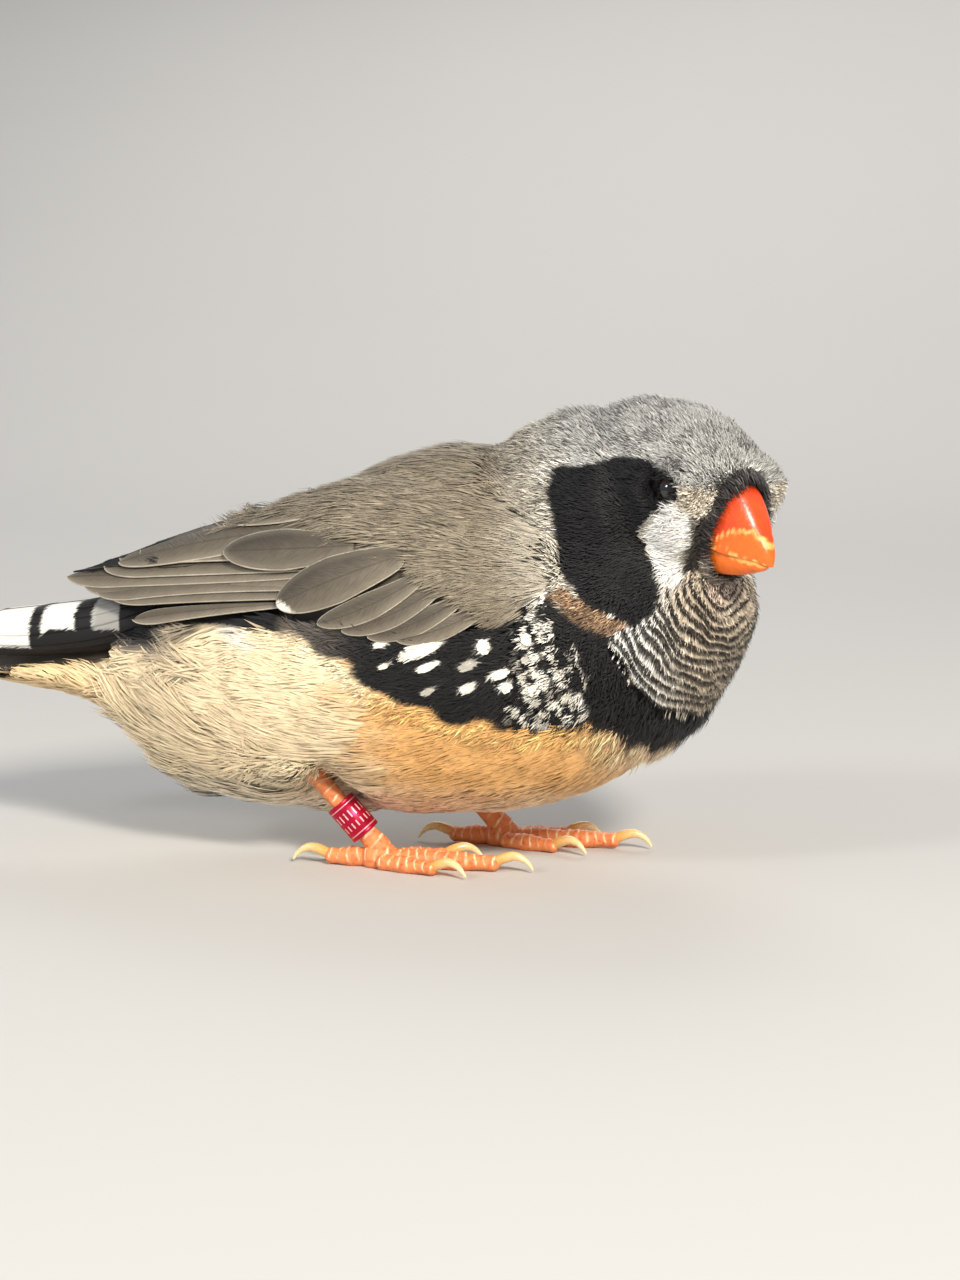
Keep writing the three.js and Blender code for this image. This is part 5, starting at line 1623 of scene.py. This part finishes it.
claw_material, claw_shader, claw_place = new_material("pale claw horn")
claw_along = claw_place.attribute("along", 2)
claw_grain = claw_place.noise(1800.0, 3.0)
claw_tone = claw_along.mix((*linear(226, 168, 92), 1), (*linear(246, 222, 170), 1))
plug(claw_shader, "Base Color", (claw_grain * 0.4 + 0.8).times_colour(claw_tone))
plug(claw_shader, "Roughness", claw_grain * 0.2 + 0.18)
claw_shader.inputs["Coat Weight"].default_value = 0.3
for label, (foot, _, side) in FEET.items():
    claws = bmesh.new()
    along_claw = []
    for name, bearing, length, radius in TOES:
        start, way = toe_start(foot, side, bearing, radius)
        path = [start + way * (length + CLAW_REACH * reach) + (0, 0, rise * CLAW_RISE)
                for reach, rise in CLAW_BEND]
        path.append(start + way * (length + CLAW_REACH) + (0, 0, CLAW_TIP_HEIGHT - (radius - SOLE_SINK)))
        radii = [CLAW_RADIUS * share for share in CLAW_TAPER]
        claw = limb(path, radii, 36, 18, 0.0, (0.6, 0.8), 0.0)
        part = bpy.data.meshes.new("claw")
        claw.to_mesh(part)
        claw.free()
        reach = (mesh_arrays(part)[0] - start) @ way - length
        along_claw.append(np.clip(reach / CLAW_REACH, 0, 1))
        claws.from_mesh(part)
        bpy.data.meshes.remove(part)
    names = [f"{name}_{label}_claw" for name, _, _, _ in TOES]
    piece = finished(f"claws_{label}", claws, claw_material, names)
    piece.data.attributes.new("along", "FLOAT", "POINT").data.foreach_set("value", np.concatenate(along_claw))

# Leg ring
# A closed ring of thin crimson metal round the right leg, with two fine turned grooves and plain printed
# strokes. It rests just above the foot.
RING_LENGTH = 4.7
RING_BORE = 1.35
RING_RADIUS = 1.85
RING_PLACE = 4.6
RING_BEVEL = 0.12
RING_STEPS = 72
GROOVE_DEPTH = 0.05
GROOVE_INSET = 0.55
STROKES_ROUND = 18

ring_lean = Vector(FEET["right"][1]).normalized()
ring_middle = Vector(FEET["right"][0]) + Vector((0, 0, FOOT_JOINT_HEIGHT)) + ring_lean * RING_PLACE
ring = bmesh.new()
half = RING_LENGTH / 2
outline = [(RING_BORE, -half), (RING_RADIUS, -half)]
for groove in (-half + GROOVE_INSET, half - GROOVE_INSET):
    outline += [(RING_RADIUS, groove - 0.12), (RING_RADIUS - GROOVE_DEPTH, groove - 0.06),
                (RING_RADIUS - GROOVE_DEPTH, groove + 0.06), (RING_RADIUS, groove + 0.12)]
outline += [(RING_RADIUS, half), (RING_BORE, half)]
section = [ring.verts.new((radius, 0, height)) for radius, height in outline]
loop = [ring.edges.new((section[i], section[(i + 1) % len(section)])) for i in range(len(section))]
bmesh.ops.spin(ring, geom=section + loop, cent=(0, 0, 0), axis=(0, 0, 1), angle=2 * math.pi, steps=RING_STEPS,
               use_merge=True)
bmesh.ops.remove_doubles(ring, verts=ring.verts[:], dist=1e-4)
bmesh.ops.recalc_face_normals(ring, faces=ring.faces[:])
corners = [edge for edge in ring.edges if edge.calc_face_angle(0) > 1.2]
bmesh.ops.bevel(ring, geom=corners, offset=RING_BEVEL, segments=3, profile=0.5, affect="EDGES", material=-1)
ring_mesh = bpy.data.meshes.new("ring")
ring.to_mesh(ring_mesh)
ring.free()
local = np.zeros(len(ring_mesh.vertices) * 3)
ring_mesh.vertices.foreach_get("co", local)
local = local.reshape(-1, 3)
to_lean = np.array(Vector((0, 0, 1)).rotation_difference(ring_lean).to_matrix())
ring_mesh.vertices.foreach_set("co", to_frame(local @ to_lean.T + np.array(ring_middle)).ravel())
for name, values in (("round_x", local[:, 0]), ("round_y", local[:, 1]), ("height", local[:, 2])):
    ring_mesh.attributes.new(name, "FLOAT", "POINT").data.foreach_set("value", values)
ring_material, ring_shader, ring_place = new_material("crimson ring")
ring_height = ring_place.attribute("height", 2)
round_angle = ring_place.attribute("round_y", 2).math("ARCTAN2", ring_place.attribute("round_x", 2))
stroke = (round_angle * (STROKES_ROUND / (2 * math.pi))).math("FRACT").math("COMPARE", 0.5, 0.14)
upper_row = (ring_height - 0.65).math("ABSOLUTE").ramp(0.5, 0.44)
row = upper_row + (ring_height + 0.75).math("ABSOLUTE").ramp(0.4, 0.34)
groove_line = (ring_height.math("ABSOLUTE") - (half - GROOVE_INSET)).math("ABSOLUTE").ramp(0.09, 0.05)
wear = ring_place.noise(900.0, 4.0)
printed = (stroke * row * wear.ramp(0.3, 0.45) + groove_line * 0.7).math("MINIMUM", 1.0) * 0.8
crimson = wear.mix((*linear(176, 16, 48), 1), (*linear(206, 30, 70), 1))
plug(ring_shader, "Base Color", printed.mix(crimson, (*linear(244, 206, 206), 1)))
plug(ring_shader, "Metallic", 0.75 - printed * 0.6)
plug(ring_shader, "Roughness", wear * 0.25 + 0.2)
bump(ring_shader, wear, 0.02)
ring_mesh.shade_smooth()
ring_mesh.materials.append(ring_material)
leg_ring = new_piece("leg_ring", ring_mesh)
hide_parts("leg_band")
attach(leg_ring, "root")

# Floor and light
# A plain pale floor that curves up into a backdrop, under soft square lamps. Here sizes are in metres and
# powers in watts. The fill lamp is kept out of reflections, so that the eye shows one small glint.
FLOOR_REACH = 1.2
CLIMB_START = 0.5
CLIMB = 1.4
LAMP_AIM = Vector((0.02, 0, 0.03))

floor_shape = bmesh.new()
bmesh.ops.create_grid(floor_shape, x_segments=1, y_segments=40, size=FLOOR_REACH)
for corner in floor_shape.verts:
    climb = max(corner.co.y - CLIMB_START, 0)
    corner.co.z = climb ** 2 * CLIMB
    corner.co.x *= 2
floor_mesh = bpy.data.meshes.new("floor")
floor_shape.to_mesh(floor_mesh)
floor_shape.free()
floor_mesh.shade_smooth()
floor = new_piece("floor", floor_mesh)
floor_material, floor_shader, floor_place = new_material("pale floor")
dapple = floor_place.noise(6.0, 3.0)
plug(floor_shader, "Base Color", dapple.mix((0.56, 0.55, 0.53, 1), (0.59, 0.58, 0.56, 1)))
floor_shader.inputs["Roughness"].default_value = 0.85
floor_mesh.materials.append(floor_material)


def lamp(name, place, size, power, colour):
    """A soft square lamp that points at the bird."""
    light = bpy.data.lights.new(name, "AREA")
    light.size = size
    light.energy = power
    light.color = colour
    holder = bpy.data.objects.new(name, light)
    holder.location = place
    holder.rotation_euler = (Vector(place) - LAMP_AIM).to_track_quat("Z", "Y").to_euler()
    bpy.context.scene.collection.objects.link(holder)
    return holder


lamp("key", (0.42, -0.62, 0.48), 0.16, 9.0, (1.0, 0.94, 0.85))
fill = lamp("fill", (-0.7, -0.5, 0.30), 0.8, 1.3, (0.94, 0.96, 1.0))
fill.visible_glossy = False
lamp("catch light", (-0.50, -0.62, 0.50), 0.16, 2.0, (1.0, 1.0, 1.0))
lamp("back", (-0.1, 0.7, 0.6), 0.5, 2.2, (1.0, 0.98, 0.95))
studio = bpy.data.worlds.new("studio")
studio.use_nodes = True
studio_light = studio.node_tree.nodes["Background"]
studio_light.inputs["Color"].default_value = (0.78, 0.80, 0.83, 1)
studio_light.inputs["Strength"].default_value = 0.5
bpy.context.scene.world = studio
bpy.context.scene.view_settings.view_transform = "Standard"
